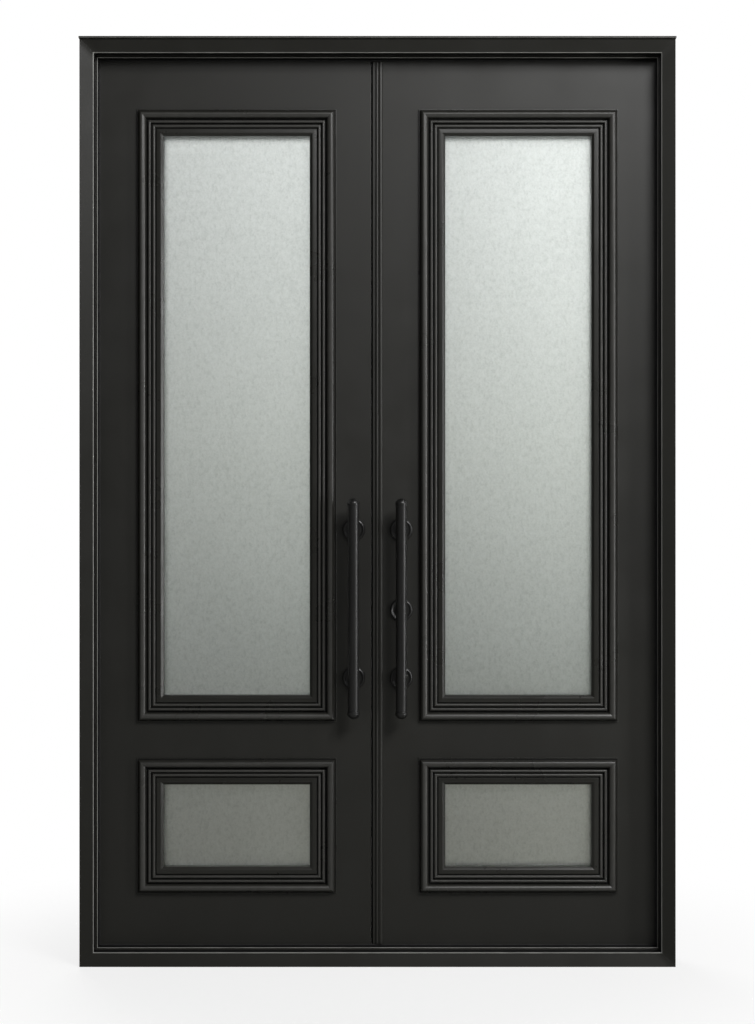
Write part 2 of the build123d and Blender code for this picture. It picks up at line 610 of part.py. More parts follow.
def build_lock():
    """Lock case, deadbolt, key cylinder, plug and thumb turn of the right leaf."""
    x, z = PULL_OFFSET, LOCK_HEIGHT
    bolt_y = (BOLT_SIDE, BOLT_SIDE + BOLT_THICKNESS)
    bolt_z = (z - BOLT_HEIGHT / 2, z + BOLT_HEIGHT / 2)
    bolt = block((BOLT_FRONT, BOLT_FRONT + BOLT_LENGTH), bolt_y, bolt_z)
    bolt = chamfer(bolt.faces().sort_by(Axis.X)[0].edges(), BOLT_CHAMFER)
    pin_x, pin_z = x + BOLT_THROW / 2, z + BOLT_THROW / 2
    play = ARM_PIN_DIAMETER / 2 + ARM_PIN_CLEARANCE
    slot_z = (pin_z - play, z + ARM_LENGTH + play)
    tail_x = (BOLT_FRONT + BOLT_LENGTH - TAIL_LAP, pin_x + play + TAIL_MARGIN)
    tail_y = (BOLT_SIDE, BOLT_SIDE + TAIL_THICKNESS)
    bolt += block(tail_x, tail_y, (z + TAIL_FOOT, slot_z[1] + TAIL_MARGIN))
    bolt -= block((pin_x - play, pin_x + play), (BOLT_SIDE - OVERRUN, BOLT_SIDE + TAIL_THICKNESS), slot_z)
    save("deadbolt", [bolt])

    slot_width = BOLT_THICKNESS + 2 * BOLT_CLEARANCE
    slot_length = BOLT_HEIGHT + 2 * BOLT_CLEARANCE
    plate = edge_plate(RIGHT_EDGE, 1, z, LOCK_PLATE_LENGTH, slot_width, slot_length)
    case_x = (RIGHT_EDGE + EDGE_PLATE_THICKNESS, RIGHT_EDGE + CASE_DEPTH)
    case_y = (CASE_SIDE, CASE_SIDE + CASE_THICKNESS)
    case_z = (z - CASE_HEIGHT / 2, z + CASE_HEIGHT / 2)
    case = block(case_x, case_y, case_z)
    inner_x = (case_x[0] - OVERRUN, case_x[1] - CASE_WALL)
    inner_y = (case_y[0] + CASE_WALL, case_y[1] - CASE_WALL)
    case -= block(inner_x, inner_y, (case_z[0] + CASE_WALL, case_z[1] - CASE_WALL))
    bore = SPINDLE_DIAMETER + 2 * SPINDLE_CLEARANCE
    case -= rod_y(x, z, bore, (CASE_SIDE - OVERRUN, LEAF_MIDDLE))
    bore = HUB_DIAMETER + 2 * SPINDLE_CLEARANCE
    case -= rod_y(x, z, bore, (LEAF_MIDDLE, CASE_SIDE + CASE_THICKNESS + OVERRUN))
    save("lock_case", [case + plate])

    cylinder_front = LEAF_FRONT - CYLINDER_PROUD
    cylinder = rod_y(x, z, CYLINDER_DIAMETER, (cylinder_front, CASE_SIDE))
    cylinder = chamfer(cylinder.faces().sort_by(Axis.Y)[0].edges(), CYLINDER_CHAMFER)
    bore = PLUG_DIAMETER + 2 * PLUG_CLEARANCE
    cylinder -= rod_y(x, z, bore, (cylinder_front - OVERRUN, CASE_SIDE + OVERRUN))
    save("key_cylinder", [cylinder])
    plug_front = cylinder_front + PLUG_INSET
    plug = rod_y(x, z, PLUG_DIAMETER, (plug_front, CASE_SIDE - SPINDLE_END_GAP))
    plug += rod_y(x, z, SPINDLE_DIAMETER, (CASE_SIDE - SPINDLE_END_GAP, ARM_FRONT - SPINDLE_END_GAP))
    key_x = (x - KEYWAY_WIDTH / 2, x + KEYWAY_WIDTH / 2)
    key_z = (z - KEYWAY_HEIGHT / 2, z + KEYWAY_HEIGHT / 2)
    plug -= block(key_x, (plug_front - OVERRUN, plug_front + KEYWAY_DEPTH), key_z)
    save("key_plug", [plug])
    save("thumb_turn", [thumb_turn(x, z)])


def thumb_turn(x, z):
    """Thumb turn with its base, spindle, arm and the pin that moves the bolt."""
    base_foot = BACK + ROSE_HEIGHT + TURN_GAP
    base_head = base_foot + TURN_BASE_HEIGHT
    turn = rod_y(x, z, HUB_DIAMETER, (ARM_FRONT, base_foot))
    turn += rod_y(x, z, TURN_BASE_DIAMETER, (base_foot, base_head))
    grip = Pos(x, base_head, z) * Rot(-90, 0, 0) * extrude(
        SlotOverall(TURN_LENGTH, TURN_WIDTH, rotation=90), amount=TURN_HEIGHT
    )
    turn += fillet(grip.faces().sort_by(Axis.Y)[-1].edges(), TURN_ROUND)
    link = block((-ARM_WIDTH / 2, ARM_WIDTH / 2), (ARM_FRONT, ARM_BACK), (0, ARM_LENGTH))
    link += rod_y(0, ARM_LENGTH, ARM_WIDTH, (ARM_FRONT, ARM_BACK))
    link += rod_y(0, ARM_LENGTH, ARM_PIN_DIAMETER, (BOLT_SIDE, ARM_FRONT))
    return turn + Pos(x, 0, z) * Rot(0, ARM_TURN / 2, 0) * link


def build_flush_bolts():
    """Strike and flush bolt plates of the left leaf, and the two sliding bolts."""
    slot_width = BOLT_THICKNESS + 2 * BOLT_CLEARANCE
    slot_length = BOLT_HEIGHT + 2 * BOLT_CLEARANCE
    plates = [edge_plate(LEFT_EDGE, -1, LOCK_HEIGHT, STRIKE_LENGTH, slot_width, slot_length)]
    slot_width = SLIDE_WIDTH + 2 * SLIDE_CLEARANCE
    slot_length = SLIDE_LENGTH + 2 * FLUSH_THROW + 2 * SLIDE_CLEARANCE
    back = LEFT_EDGE - EDGE_PLATE_THICKNESS
    rod_hole = FLUSH_ROD_DIAMETER + 2 * FLUSH_ROD_CLEARANCE
    ends = {"head_bolt": (LEAF_HEAD, -1), "foot_bolt": (LEAF_FOOT, 1)}
    for name, (end, inward) in ends.items():
        height = end + inward * FLUSH_PLATE_INSET
        plate = edge_plate(LEFT_EDGE, -1, height, FLUSH_PLATE_LENGTH, slot_width, slot_length)
        guide_end = height - inward * FLUSH_PLATE_LENGTH / 2
        guide_z = sorted((guide_end, guide_end + inward * GUIDE_LENGTH))
        guide_x = (back, FLUSH_ROD_X - GUIDE_REACH)
        guide = block(guide_x, (LEAF_MIDDLE - GUIDE_WIDTH / 2, LEAF_MIDDLE + GUIDE_WIDTH / 2), guide_z)
        guide -= rod_z(FLUSH_ROD_X, LEAF_MIDDLE, rod_hole, (guide_z[0] - OVERRUN, guide_z[1] + OVERRUN))
        plates.append(plate + guide)
        tip = end + inward * FLUSH_TIP_INSET
        rod_z_range = sorted((tip, height + inward * SLIDE_LENGTH))
        bolt = rod_z(FLUSH_ROD_X, LEAF_MIDDLE, FLUSH_ROD_DIAMETER, rod_z_range)
        slide_y = (LEAF_MIDDLE - SLIDE_WIDTH / 2, LEAF_MIDDLE + SLIDE_WIDTH / 2)
        slide_z = (height - SLIDE_LENGTH / 2, height + SLIDE_LENGTH / 2)
        bolt += block((FLUSH_ROD_X, LEFT_EDGE - SLIDE_INSET), slide_y, slide_z)
        save(name, [bolt])
    save("meeting_edge_plates", plates)


def build_astragal():
    """Moulded strip on the outside of the right leaf, along its meeting edge."""
    foot = STOP_WIDTH + SEAL_LAP + ASTRAGAL_END_GAP
    section = section_face(ASTRAGAL_SHARES, ASTRAGAL_WIDTH, ASTRAGAL_HEIGHT)
    strip = extrude(Pos(RIGHT_EDGE, LEAF_FRONT, foot) * section, amount=JAMB_HEIGHT - 2 * foot, dir=(0, 0, 1))
    save("astragal", [strip])


def build_meeting_seal():
    """Rubber strip on the right leaf whose fin closes most of the gap to the left leaf."""
    base_back = BACK - FIN_BACK_INSET
    base_edge = RIGHT_EDGE - FIN_BASE_THICKNESS
    base = block((base_edge, RIGHT_EDGE), (base_back - FIN_BASE_WIDTH, base_back), (LEAF_FOOT, LEAF_HEAD))
    middle = base_back - FIN_BASE_WIDTH / 2
    fin_y = (middle - FIN_THICKNESS / 2, middle + FIN_THICKNESS / 2)
    fin = block((LEFT_EDGE + FIN_TIP_GAP, base_edge), fin_y, (LEAF_FOOT, LEAF_HEAD))
    tip = fin.edges().filter_by(Axis.Z).group_by(Axis.X)[0]
    save("meeting_seal", [base + fillet(tip, FIN_ROUND)])


build_frame()
for side_name, side_sign in SIDES.items():
    build_tubes(side_name, side_sign)
    build_lights(side_name, side_sign)
    build_hinges(side_name, side_sign)
    build_pull(side_name, side_sign)
build_lock()
build_flush_bolts()
build_astragal()
build_meeting_seal()
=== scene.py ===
import json
import logging
import math
from dataclasses import dataclass, field
from enum import Enum
from typing import Protocol, Sequence

import bmesh
import bpy
from mathutils import Euler, Matrix, Vector


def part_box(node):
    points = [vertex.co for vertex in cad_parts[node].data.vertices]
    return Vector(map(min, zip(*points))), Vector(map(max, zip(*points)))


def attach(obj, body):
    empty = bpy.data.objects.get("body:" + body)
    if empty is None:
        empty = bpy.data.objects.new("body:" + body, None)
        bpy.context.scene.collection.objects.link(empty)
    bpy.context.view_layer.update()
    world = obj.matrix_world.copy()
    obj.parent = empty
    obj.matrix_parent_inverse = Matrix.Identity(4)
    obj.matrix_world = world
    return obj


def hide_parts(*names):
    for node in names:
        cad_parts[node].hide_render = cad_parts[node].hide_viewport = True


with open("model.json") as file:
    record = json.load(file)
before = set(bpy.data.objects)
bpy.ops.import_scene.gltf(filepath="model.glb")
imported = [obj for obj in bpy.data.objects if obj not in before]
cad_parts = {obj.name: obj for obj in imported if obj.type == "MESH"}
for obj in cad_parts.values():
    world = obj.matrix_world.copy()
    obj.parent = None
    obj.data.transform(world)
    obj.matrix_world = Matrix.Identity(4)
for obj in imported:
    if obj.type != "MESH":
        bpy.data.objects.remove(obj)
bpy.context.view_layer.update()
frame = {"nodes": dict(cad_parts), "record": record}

LOG = logging.getLogger("iron_door")
Point = tuple[float, float]
Place = tuple[float, float, float]
Colour = tuple[float, float, float]
Socket = bpy.types.NodeSocket

# Attribute that tells the crests of a moulding from its hollows, and steers the painted highlight on the crests and
# the painted shade in the hollows
RELIEF = "relief"
# Fall of the frame's front faces toward the doorway, to each metre across
FRAME_SPLAY = 0.30
# Most of a side that the rounding of one corner takes up
CORNER_SHARE = 0.45
# Range that most of a noise lies in, and the range of a share
NOISE: Point = (0.30, 0.70)
SHARE: Point = (0.0, 1.0)


class Slot(Enum):
    """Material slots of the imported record."""

    WROUGHT_IRON = "wrought_iron"
    HANDLE_IRON = "handle_iron"
    FROSTED_GLASS = "frosted_glass"
    CLEAR_GLASS = "clear_glass"
    SPACER_METAL = "spacer_metal"
    SEAL_RUBBER = "seal_rubber"
    BRIGHT_STEEL = "bright_steel"
    LOCK_METAL = "lock_metal"


class Side(Enum):
    """The two leaves, with the sign of X on their side of the frame."""

    LEFT = -1
    RIGHT = 1

    @property
    def word(self) -> str:
        """Name of the side as the nodes spell it."""
        return self.name.lower()

    @property
    def body(self) -> str:
        """Body of the leaf on this side."""
        return f"{self.word}_leaf"


class Facing(Enum):
    """Which way a moulding stands out from the leaf, as the sign of Y."""

    OUTER = -1
    INNER = 1


def rgba(colour: Colour) -> tuple[float, float, float, float]:
    """Colour with full alpha."""
    return (*colour, 1.0)


def added(name: str, data: bpy.types.ID) -> bpy.types.Object:
    """Link a new object to the scene.

    Args:
        name: Name of the object.
        data: Mesh, curve, lamp or camera that it shows.

    Returns:
        The object.
    """
    made = bpy.data.objects.new(name, data)
    bpy.context.scene.collection.objects.link(made)
    return made


# Finishes


class NodeKit:
    """Node tree with short calls that add nodes and join them."""

    def __init__(self, tree: bpy.types.NodeTree) -> None:
        """Take a tree as it is."""
        self.tree = tree

    def feed(self, target: Socket, value: object) -> None:
        """Join a socket to an input, or set the input to a plain value.

        Args:
            target: The input.
            value: Socket or plain value.
        """
        if isinstance(value, Socket):
            self.tree.links.new(value, target)
        else:
            target.default_value = value

    def node(self, kind: str, joins: dict[str | int, object], **settings: object) -> bpy.types.Node:
        """Add a node.

        Args:
            kind: Type of the node.
            joins: Sockets to join or values to set, by the name or number of the input that each goes to.
            **settings: Properties of the node.

        Returns:
            The node.
        """
        made = self.tree.nodes.new(kind)
        for key, value in settings.items():
            setattr(made, key, value)
        for key, value in joins.items():
            self.feed(made.inputs[key], value)
        return made

    def ranged(self, source: Socket, given: Point, wanted: Point = SHARE) -> Socket:
        """Map a range of values to another, clamped.

        Args:
            source: Socket with the value.
            given: Lowest and highest value that count.
            wanted: What those two become.

        Returns:
            Socket with the mapped value.
        """
        limits = zip(("From Min", "From Max", "To Min", "To Max"), (*given, *wanted))
        return self.node("ShaderNodeMapRange", {"Value": source, **dict(limits)}).outputs["Result"]

    def maths(self, operation: str, *values: object) -> Socket:
        """Result of a math node on numbers, or on sockets that give them."""
        return self.node("ShaderNodeMath", dict(enumerate(values)), operation=operation).outputs[0]


class ShaderTree(NodeKit):
    """Node tree of one material, with short calls for the nodes that the finishes share."""

    def __init__(self, name: str) -> None:
        """Start a material with one principled shader.

        Args:
            name: Name of the material.
        """
        self.material = bpy.data.materials.new(name)
        self.material.use_nodes = True
        super().__init__(self.material.node_tree)
        self.tree.nodes.clear()
        self.shader = self.node("ShaderNodeBsdfPrincipled", {})
        self.output = self.node("ShaderNodeOutputMaterial", {"Surface": self.shader.outputs["BSDF"]})
        self.coordinates = self.node("ShaderNodeTexCoord", {}).outputs

    def set(self, **values: object) -> None:
        """Set or join sockets of the shader, with underscores for the spaces in their names."""
        for name, value in values.items():
            self.feed(self.shader.inputs[name.replace("_", " ")], value)

    def show(self, surface: Socket) -> None:
        """Show another shader in place of the principled one."""
        self.feed(self.output.inputs["Surface"], surface)

    def noise(self, scale: float, detail: float = 3.0, stretch: Place = (1.0, 1.0, 1.0)) -> Socket:
        """Noise on the object's own coordinates.

        Args:
            scale: Number of blotches to a metre.
            detail: Octaves of finer noise.
            stretch: Scale of the coordinates along X, Y and Z.

        Returns:
            Factor socket of the noise.
        """
        mapping = self.node("ShaderNodeMapping", {"Scale": stretch, "Vector": self.coordinates["Object"]})
        joins = {"Scale": scale, "Detail": detail, "Vector": mapping.outputs["Vector"]}
        return self.node("ShaderNodeTexNoise", joins).outputs[0]

    def times(self, first: Socket, second: Socket) -> Socket:
        """Product of two values."""
        return self.maths("MULTIPLY", first, second)

    def attribute(self, name: str) -> Socket:
        """Value that the piece's own mesh carries."""
        return self.node("ShaderNodeAttribute", {}, attribute_name=name).outputs["Fac"]

    def parts(self, coordinates: str) -> bpy.types.bpy_prop_collection:
        """X, Y and Z sockets of one of the texture coordinates, without their signs."""
        size = self.node("ShaderNodeVectorMath", {0: self.coordinates[coordinates]}, operation="ABSOLUTE")
        return self.node("ShaderNodeSeparateXYZ", {0: size.outputs["Vector"]}).outputs

    def insets(self, half_width: float, height: float, blur: float) -> tuple[Socket, Socket]:
        """Distance from the nearest outer edge of an upright border.

        Args:
            half_width: Half of the width over the outer edges.
            height: Height over the outer edges.
            blur: How far the sides run into each other at rounded corners.

        Returns:
            Sockets with the distance in metres, with sharp and with rounded corners.
        """
        x, _, z = self.parts("Object")
        across = self.maths("SUBTRACT", half_width, x)
        upright = self.maths("MINIMUM", self.maths("SUBTRACT", height, z), z)
        return self.maths("MINIMUM", across, upright), self.maths("SMOOTH_MIN", across, upright, blur)

    def blend(self, share: Socket, first: object, second: object) -> Socket:
        """Mix two colours.

        Args:
            share: Share of the second colour.
            first: Colour, or a socket that gives one.
            second: Colour, or a socket that gives one.

        Returns:
            Socket with the mixed colour.
        """
        start, end = (value if isinstance(value, Socket) else rgba(value) for value in (first, second))
        return self.node("ShaderNodeMix", {0: share, 6: start, 7: end}, data_type="RGBA").outputs[2]

    def ramp(self, along: Socket, stops: Sequence[tuple[float, Colour]]) -> Socket:
        """Colours along a share.

        Args:
            along: Socket with the share.
            stops: Share and colour of each stop.

        Returns:
            Socket with the colour.
        """
        node = self.node("ShaderNodeValToRGB", {"Fac": along})
        while len(node.color_ramp.elements) < len(stops):
            node.color_ramp.elements.new(0.5)
        for stop, (share, colour) in zip(node.color_ramp.elements, stops):
            stop.position = share
            stop.color = rgba(colour)
        return node.outputs["Color"]

    def eased_normal(self, radius: float) -> Socket:
        """Normal that rounds the edges a little."""
        return self.node("ShaderNodeBevel", {"Radius": radius}, samples=4).outputs["Normal"]

    def edge_share(self, radius: float) -> Socket:
        """Share of a point that lies on a convex or concave edge.

        Args:
            radius: How far from the edge the share falls to nothing.

        Returns:
            Socket that is 1 on an edge and 0 on a plain face.
        """
        plain = self.node("ShaderNodeNewGeometry", {}).outputs["Normal"]
        dot = self.node("ShaderNodeVectorMath", {0: plain, 1: self.eased_normal(radius)}, operation="DOT_PRODUCT")
        return self.ranged(dot.outputs["Value"], (0.995, 0.80))

    def arris_share(self) -> Socket:
        """Share of a point that lies on a rounded arris between faces nearly square to the axes.

        Returns:
            Socket that is 1 in the middle of the rounding and 0 on a plain face.
        """
        x, y, z = self.parts("Normal")
        most = self.maths("MAXIMUM", self.maths("MAXIMUM", x, y), z)
        return self.ranged(most, (0.950, 0.85))

    def bump(self, height: Socket, strength: float, depth: float, normal: Socket | None = None) -> Socket:
        """Bump from a height.

        Args:
            height: Socket with the height, from 0 to 1.
            strength: Strength of the bump.
            depth: Depth of the relief in metres.
            normal: Normal that the bump starts from.

        Returns:
            Socket with the bumped normal.
        """
        joins = {"Strength": strength, "Distance": depth, "Height": height}
        if normal is not None:
            joins["Normal"] = normal
        return self.node("ShaderNodeBump", joins).outputs["Normal"]


class Finish(Protocol):
    """Finish that the rack can build."""

    name: str

    def material(self) -> bpy.types.Material:
        """Build the material."""


@dataclass(frozen=True)
class Border:
    """Look of the frame's border: ground mitres, painted shade in the reveals, painted highlight on the arrises,
    flat primer toward the wall.
    """

    half_width: float
    height: float
    splay: float
    blur: float
    # Pale colour of the painted highlight on the arrises
    arris: Colour
    # Near-black colour of the painted shade in the reveals
    reveal: Colour
    reveal_starts: Point
    primer_ends: Point
    primer_roughness: float
    handling: float = 21.0
    handling_stretch: Place = (1.0, 1.0, 0.25)

    def dress(self, tree: ShaderTree, colour: Socket, normal: Socket | None) -> tuple[Socket, Socket, Socket]:
        """Add the border's look to a paint.

        Args:
            tree: Tree of the paint.
            colour: Colour of the plain paint.
            normal: Normal of the plain paint.

        Returns:
            Sockets with the colour, the normal and the least roughness.
        """
        inset, rounded = tree.insets(self.half_width, self.height, self.blur)
        edgewise = tree.ranged(tree.parts("Normal")[1], (0.60, 0.30))
        # Painted shade: faces across the reveals, past the outer band, go near black
        reveal_shade_share = tree.times(tree.ranged(inset, self.reveal_starts), edgewise)
        colour = tree.blend(reveal_shade_share, colour, self.reveal)
        # Painted highlight along the rounded arrises, mottled by noise
        highlight_mottle = tree.ranged(tree.noise(self.handling, stretch=self.handling_stretch), NOISE, (0.65, 1.0))
        colour = tree.blend(tree.times(tree.arris_share(), highlight_mottle), colour, self.arris)
        primer = tree.times(tree.ranged(inset, self.primer_ends, (0.0, self.primer_roughness)), edgewise)
        ground = tree.bump(tree.maths("SUBTRACT", inset, rounded), 1.0, self.splay, normal)
        return colour, ground, primer


@dataclass(frozen=True)
class PaintedIron:
    """Satin powder coat on iron, with a fine grain and slightly rubbed edges."""

    name: str
    colour: Colour
    shade: Colour
    rubbed: Colour
    roughness: Point
    cloud: float = 2.3
    patch: float = 38.0
    sheen: float = 9.0
    grain: float = 1100.0
    grain_strength: float = 0.10
    grain_depth: float = 0.0004
    edges: bool = True
    edge_radius: float = 0.0012
    ease: float = 0.0006
    specular: float = 0.5
    border: Border | None = None
    # Colours of the painted shade in the hollows and of the painted highlight, with rubbed wear, on the crests
    relief: tuple[Colour, Colour] | None = None
    hollow_roughness: float = 0.9

    def material(self) -> bpy.types.Material:
        """Build the material.

        Returns:
            The material.
        """
        tree = ShaderTree(self.name)
        cloud = tree.ranged(tree.noise(self.cloud, 4.0), (0.32, 0.68))
        colour = tree.blend(cloud, self.colour, self.shade)
        specks = tree.ranged(tree.noise(self.grain, 2.0), (0.58, 0.75), (0.0, 0.35))
        colour = tree.blend(specks, colour, self.rubbed)
        normal = least = None
        if self.edges:
            patches = tree.ranged(tree.noise(self.patch), (0.40, 0.66), (0.15, 0.75))
            wear_and_highlight = tree.times(tree.edge_share(self.edge_radius), patches)
            colour = tree.blend(wear_and_highlight, colour, self.rubbed)
            normal = tree.eased_normal(self.ease)
        if self.border is not None:
            colour, normal, least = self.border.dress(tree, colour, normal)
        # Painted shade darkens the hollows; a painted highlight with rubbed wear lightens the crests
        if self.relief is not None:
            hollow_shade, crest_wear_and_highlight = self.relief
            rise = tree.attribute(RELIEF)
            patches = tree.ranged(tree.noise(self.patch), (0.40, 0.66), (0.80, 1.0))
            wear_and_highlight = tree.times(tree.ranged(rise, (0.1, 1.0)), patches)
            colour = tree.blend(wear_and_highlight, colour, crest_wear_and_highlight)
            colour = tree.blend(tree.ranged(rise, (-0.1, -0.8)), colour, hollow_shade)
            least = tree.ranged(rise, (-0.1, -0.8), (0.0, self.hollow_roughness))
        roughness = tree.ranged(tree.noise(self.sheen, 5.0), NOISE, self.roughness)
        if least is not None:
            roughness = tree.maths("MAXIMUM", roughness, least)
        grain = tree.bump(tree.noise(self.grain), self.grain_strength, self.grain_depth, normal)
        tree.set(Specular_IOR_Level=self.specular, Base_Color=colour, Roughness=roughness, Normal=grain)
        return tree.material


@dataclass(frozen=True)
class FrostedGlass:
    """Etched glass with a fine pebbled face that scatters what is behind it."""

    name: str
    colour: Colour
    shade: Colour
    roughness: Point
    ior: float = 1.45
    specular: float = 0.35
    pebble: float = 210.0
    pebble_depth: float = 0.0008
    speck: float = 150.0
    haze: float = 6.0

    def material(self) -> bpy.types.Material:
        """Build the material.

        Returns:
            The material.
        """
        tree = ShaderTree(self.name)
        tree.set(IOR=self.ior, Transmission_Weight=1.0, Specular_IOR_Level=self.specular)
        pebbles = tree.noise(self.pebble, 2.5)
        colour = tree.blend(tree.ranged(pebbles, NOISE, (0.40, 0.90)), self.shade, self.colour)
        specks = tree.noise(self.speck, 2.0, (1.0, 1.0, 0.6))
        colour = tree.blend(tree.ranged(specks, (0.55, 0.68), (0.0, 0.8)), colour, self.colour)
        colour = tree.blend(tree.ranged(specks, (0.44, 0.30), (0.0, 0.6)), colour, self.shade)
        roughness = tree.ranged(tree.noise(self.haze), NOISE, self.roughness)
        tree.set(Base_Color=colour, Roughness=roughness, Normal=tree.bump(pebbles, 0.30, self.pebble_depth))
        return tree.material


@dataclass(frozen=True)
class ClearGlass:
    """Clear inner pane with a faint smear."""

    name: str
    colour: Colour
    ior: float = 1.45
    smear: float = 3.0
    wave: float = 1.6
    wave_depth: float = 0.001

    def material(self) -> bpy.types.Material:
        """Build the material.

        Returns:
            The material.
        """
        tree = ShaderTree(self.name)
        tree.set(IOR=self.ior, Transmission_Weight=1.0)
        smear = tree.noise(self.smear, 4.0, (1.0, 1.0, 2.4))
        paler = tuple(min(1.0, part * 1.04) for part in self.colour)
        roughness = tree.ranged(smear, (0.35, 0.75), (0.0, 0.035))
        wave = tree.bump(tree.noise(self.wave, 1.0), 0.04, self.wave_depth)
        tree.set(Base_Color=tree.blend(smear, self.colour, paler), Roughness=roughness, Normal=wave)
        return tree.material


@dataclass(frozen=True)
class BareMetal:
    """Brushed or blackened metal with fine lines along one axis and rubbed edges."""

    name: str
    colour: Colour
    shade: Colour
    rubbed: Colour
    roughness: Point
    cloud: float = 14.0
    brushing: Place = (1.0, 1.0, 0.03)
    lines: float = 1400.0
    line_depth: float = 0.0003
    edge_radius: float = 0.0008
    ease: float = 0.0004

    def material(self) -> bpy.types.Material:
        """Build the material.

        Returns:
            The material.
        """
        tree = ShaderTree(self.name)
        cloud = tree.ranged(tree.noise(self.cloud, 4.0), NOISE)
        colour = tree.blend(cloud, self.colour, self.shade)
        colour = tree.blend(tree.edge_share(self.edge_radius), colour, self.rubbed)
        lines = tree.noise(self.lines, 2.0, self.brushing)
        roughness = tree.ranged(lines, (0.25, 0.75), self.roughness)
        brushed = tree.bump(lines, 0.08, self.line_depth, tree.eased_normal(self.ease))
        tree.set(Metallic=1.0, Base_Color=colour, Roughness=roughness, Normal=brushed)
        return tree.material


@dataclass(frozen=True)
class SealRubber:
    """Matte extruded rubber with a dusty bloom."""

    name: str
    colour: Colour
    bloom: Colour
    dust: float = 45.0
    sheen: float = 120.0
    grain: float = 900.0
    grain_depth: float = 0.0004
    ease: float = 0.0004

    def material(self) -> bpy.types.Material:
        """Build the material.

        Returns:
            The material.
        """
        tree = ShaderTree(self.name)
        dust = tree.ranged(tree.noise(self.dust, 5.0), (0.45, 0.8), (0.0, 0.5))
        roughness = tree.ranged(tree.noise(self.sheen), NOISE, (0.62, 0.80))
        grain = tree.bump(tree.noise(self.grain, 2.0), 0.12, self.grain_depth, tree.eased_normal(self.ease))
        tree.set(Base_Color=tree.blend(dust, self.colour, self.bloom), Roughness=roughness, Normal=grain)
        return tree.material


IRON: Colour = (0.0200, 0.0196, 0.0166)
IRON_SHADE: Colour = (0.0172, 0.0169, 0.0145)
IRON_RUBBED: Colour = (0.052, 0.051, 0.047)
LEAF_PAINT = PaintedIron("leaf_paint", IRON, IRON_SHADE, IRON_RUBBED, (0.40, 0.50), edges=False)
FRAME_PAINT = PaintedIron(
    "frame_paint",
    IRON,
    IRON_SHADE,
    IRON_RUBBED,
    (0.38, 0.48),
    ease=0.0012,
    specular=0.3,
    border=Border(
        half_width=0.781,
        height=2.433,
        splay=FRAME_SPLAY,
        blur=0.03,
        # Pale painted highlight on the arrises
        arris=(0.36, 0.36, 0.34),
        # Near-black painted shade in the reveals
        reveal=(0.003, 0.003, 0.003),
        reveal_starts=(0.015, 0.025),
        primer_ends=(0.012, 0.008),
        primer_roughness=0.9,
    ),
)
HINGE_PAINT = PaintedIron("hinge_paint", IRON, IRON_SHADE, IRON_RUBBED, (0.36, 0.47))
MOULDING_PAINT = PaintedIron(
    "moulding_paint",
    IRON,
    IRON_SHADE,
    IRON_RUBBED,
    (0.25, 0.35),
    edges=False,
    specular=0.6,
    # Near-black painted shade in the hollows, pale painted highlight with rubbed wear on the crests
    relief=((0.0010, 0.0010, 0.0010), (0.056, 0.055, 0.051)),
)
HANDLE_PAINT = PaintedIron(
    "handle_paint",
    (0.0085, 0.0084, 0.0080),
    (0.0070, 0.0069, 0.0066),
    (0.045, 0.044, 0.042),
    (0.32, 0.42),
    specular=0.7,
)
SLOT_FINISHES: dict[Slot, Finish] = {
    Slot.WROUGHT_IRON: HINGE_PAINT,
    Slot.HANDLE_IRON: HANDLE_PAINT,
    Slot.FROSTED_GLASS: FrostedGlass("frosted_glass", (0.99, 1.0, 0.99), (0.60, 0.615, 0.60), (0.50, 0.60)),
    Slot.CLEAR_GLASS: ClearGlass("clear_glass", (0.93, 0.955, 0.945)),
    Slot.SPACER_METAL: BareMetal(
        "spacer_metal", (0.60, 0.61, 0.62), (0.52, 0.53, 0.54), (0.75, 0.75, 0.75), (0.34, 0.50)
    ),
    Slot.SEAL_RUBBER: SealRubber("seal_rubber", (0.010, 0.010, 0.010), (0.030, 0.030, 0.029)),
    Slot.BRIGHT_STEEL: BareMetal(
        "bright_steel", (0.46, 0.455, 0.44), (0.36, 0.355, 0.34), (0.66, 0.65, 0.63), (0.24, 0.42)
    ),
    Slot.LOCK_METAL: BareMetal(
        "lock_metal", (0.050, 0.050, 0.049), (0.036, 0.036, 0.035), (0.17, 0.165, 0.155), (0.28, 0.44)
    ),
}


class FinishRack:
    """Makes each material once and hands it out."""

    def __init__(self) -> None:
        """Start with no material made."""
        self.made: dict[str, bpy.types.Material] = {}

    def take(self, finish: Finish) -> bpy.types.Material:
        """Hand out the material of a finish, built the first time it is asked for.

        Args:
            finish: The finish.

        Returns:
            Its material.
        """
        if finish.name not in self.made:
            self.made[finish.name] = finish.material()
        return self.made[finish.name]


RACK = FinishRack()


# Geometry node trees


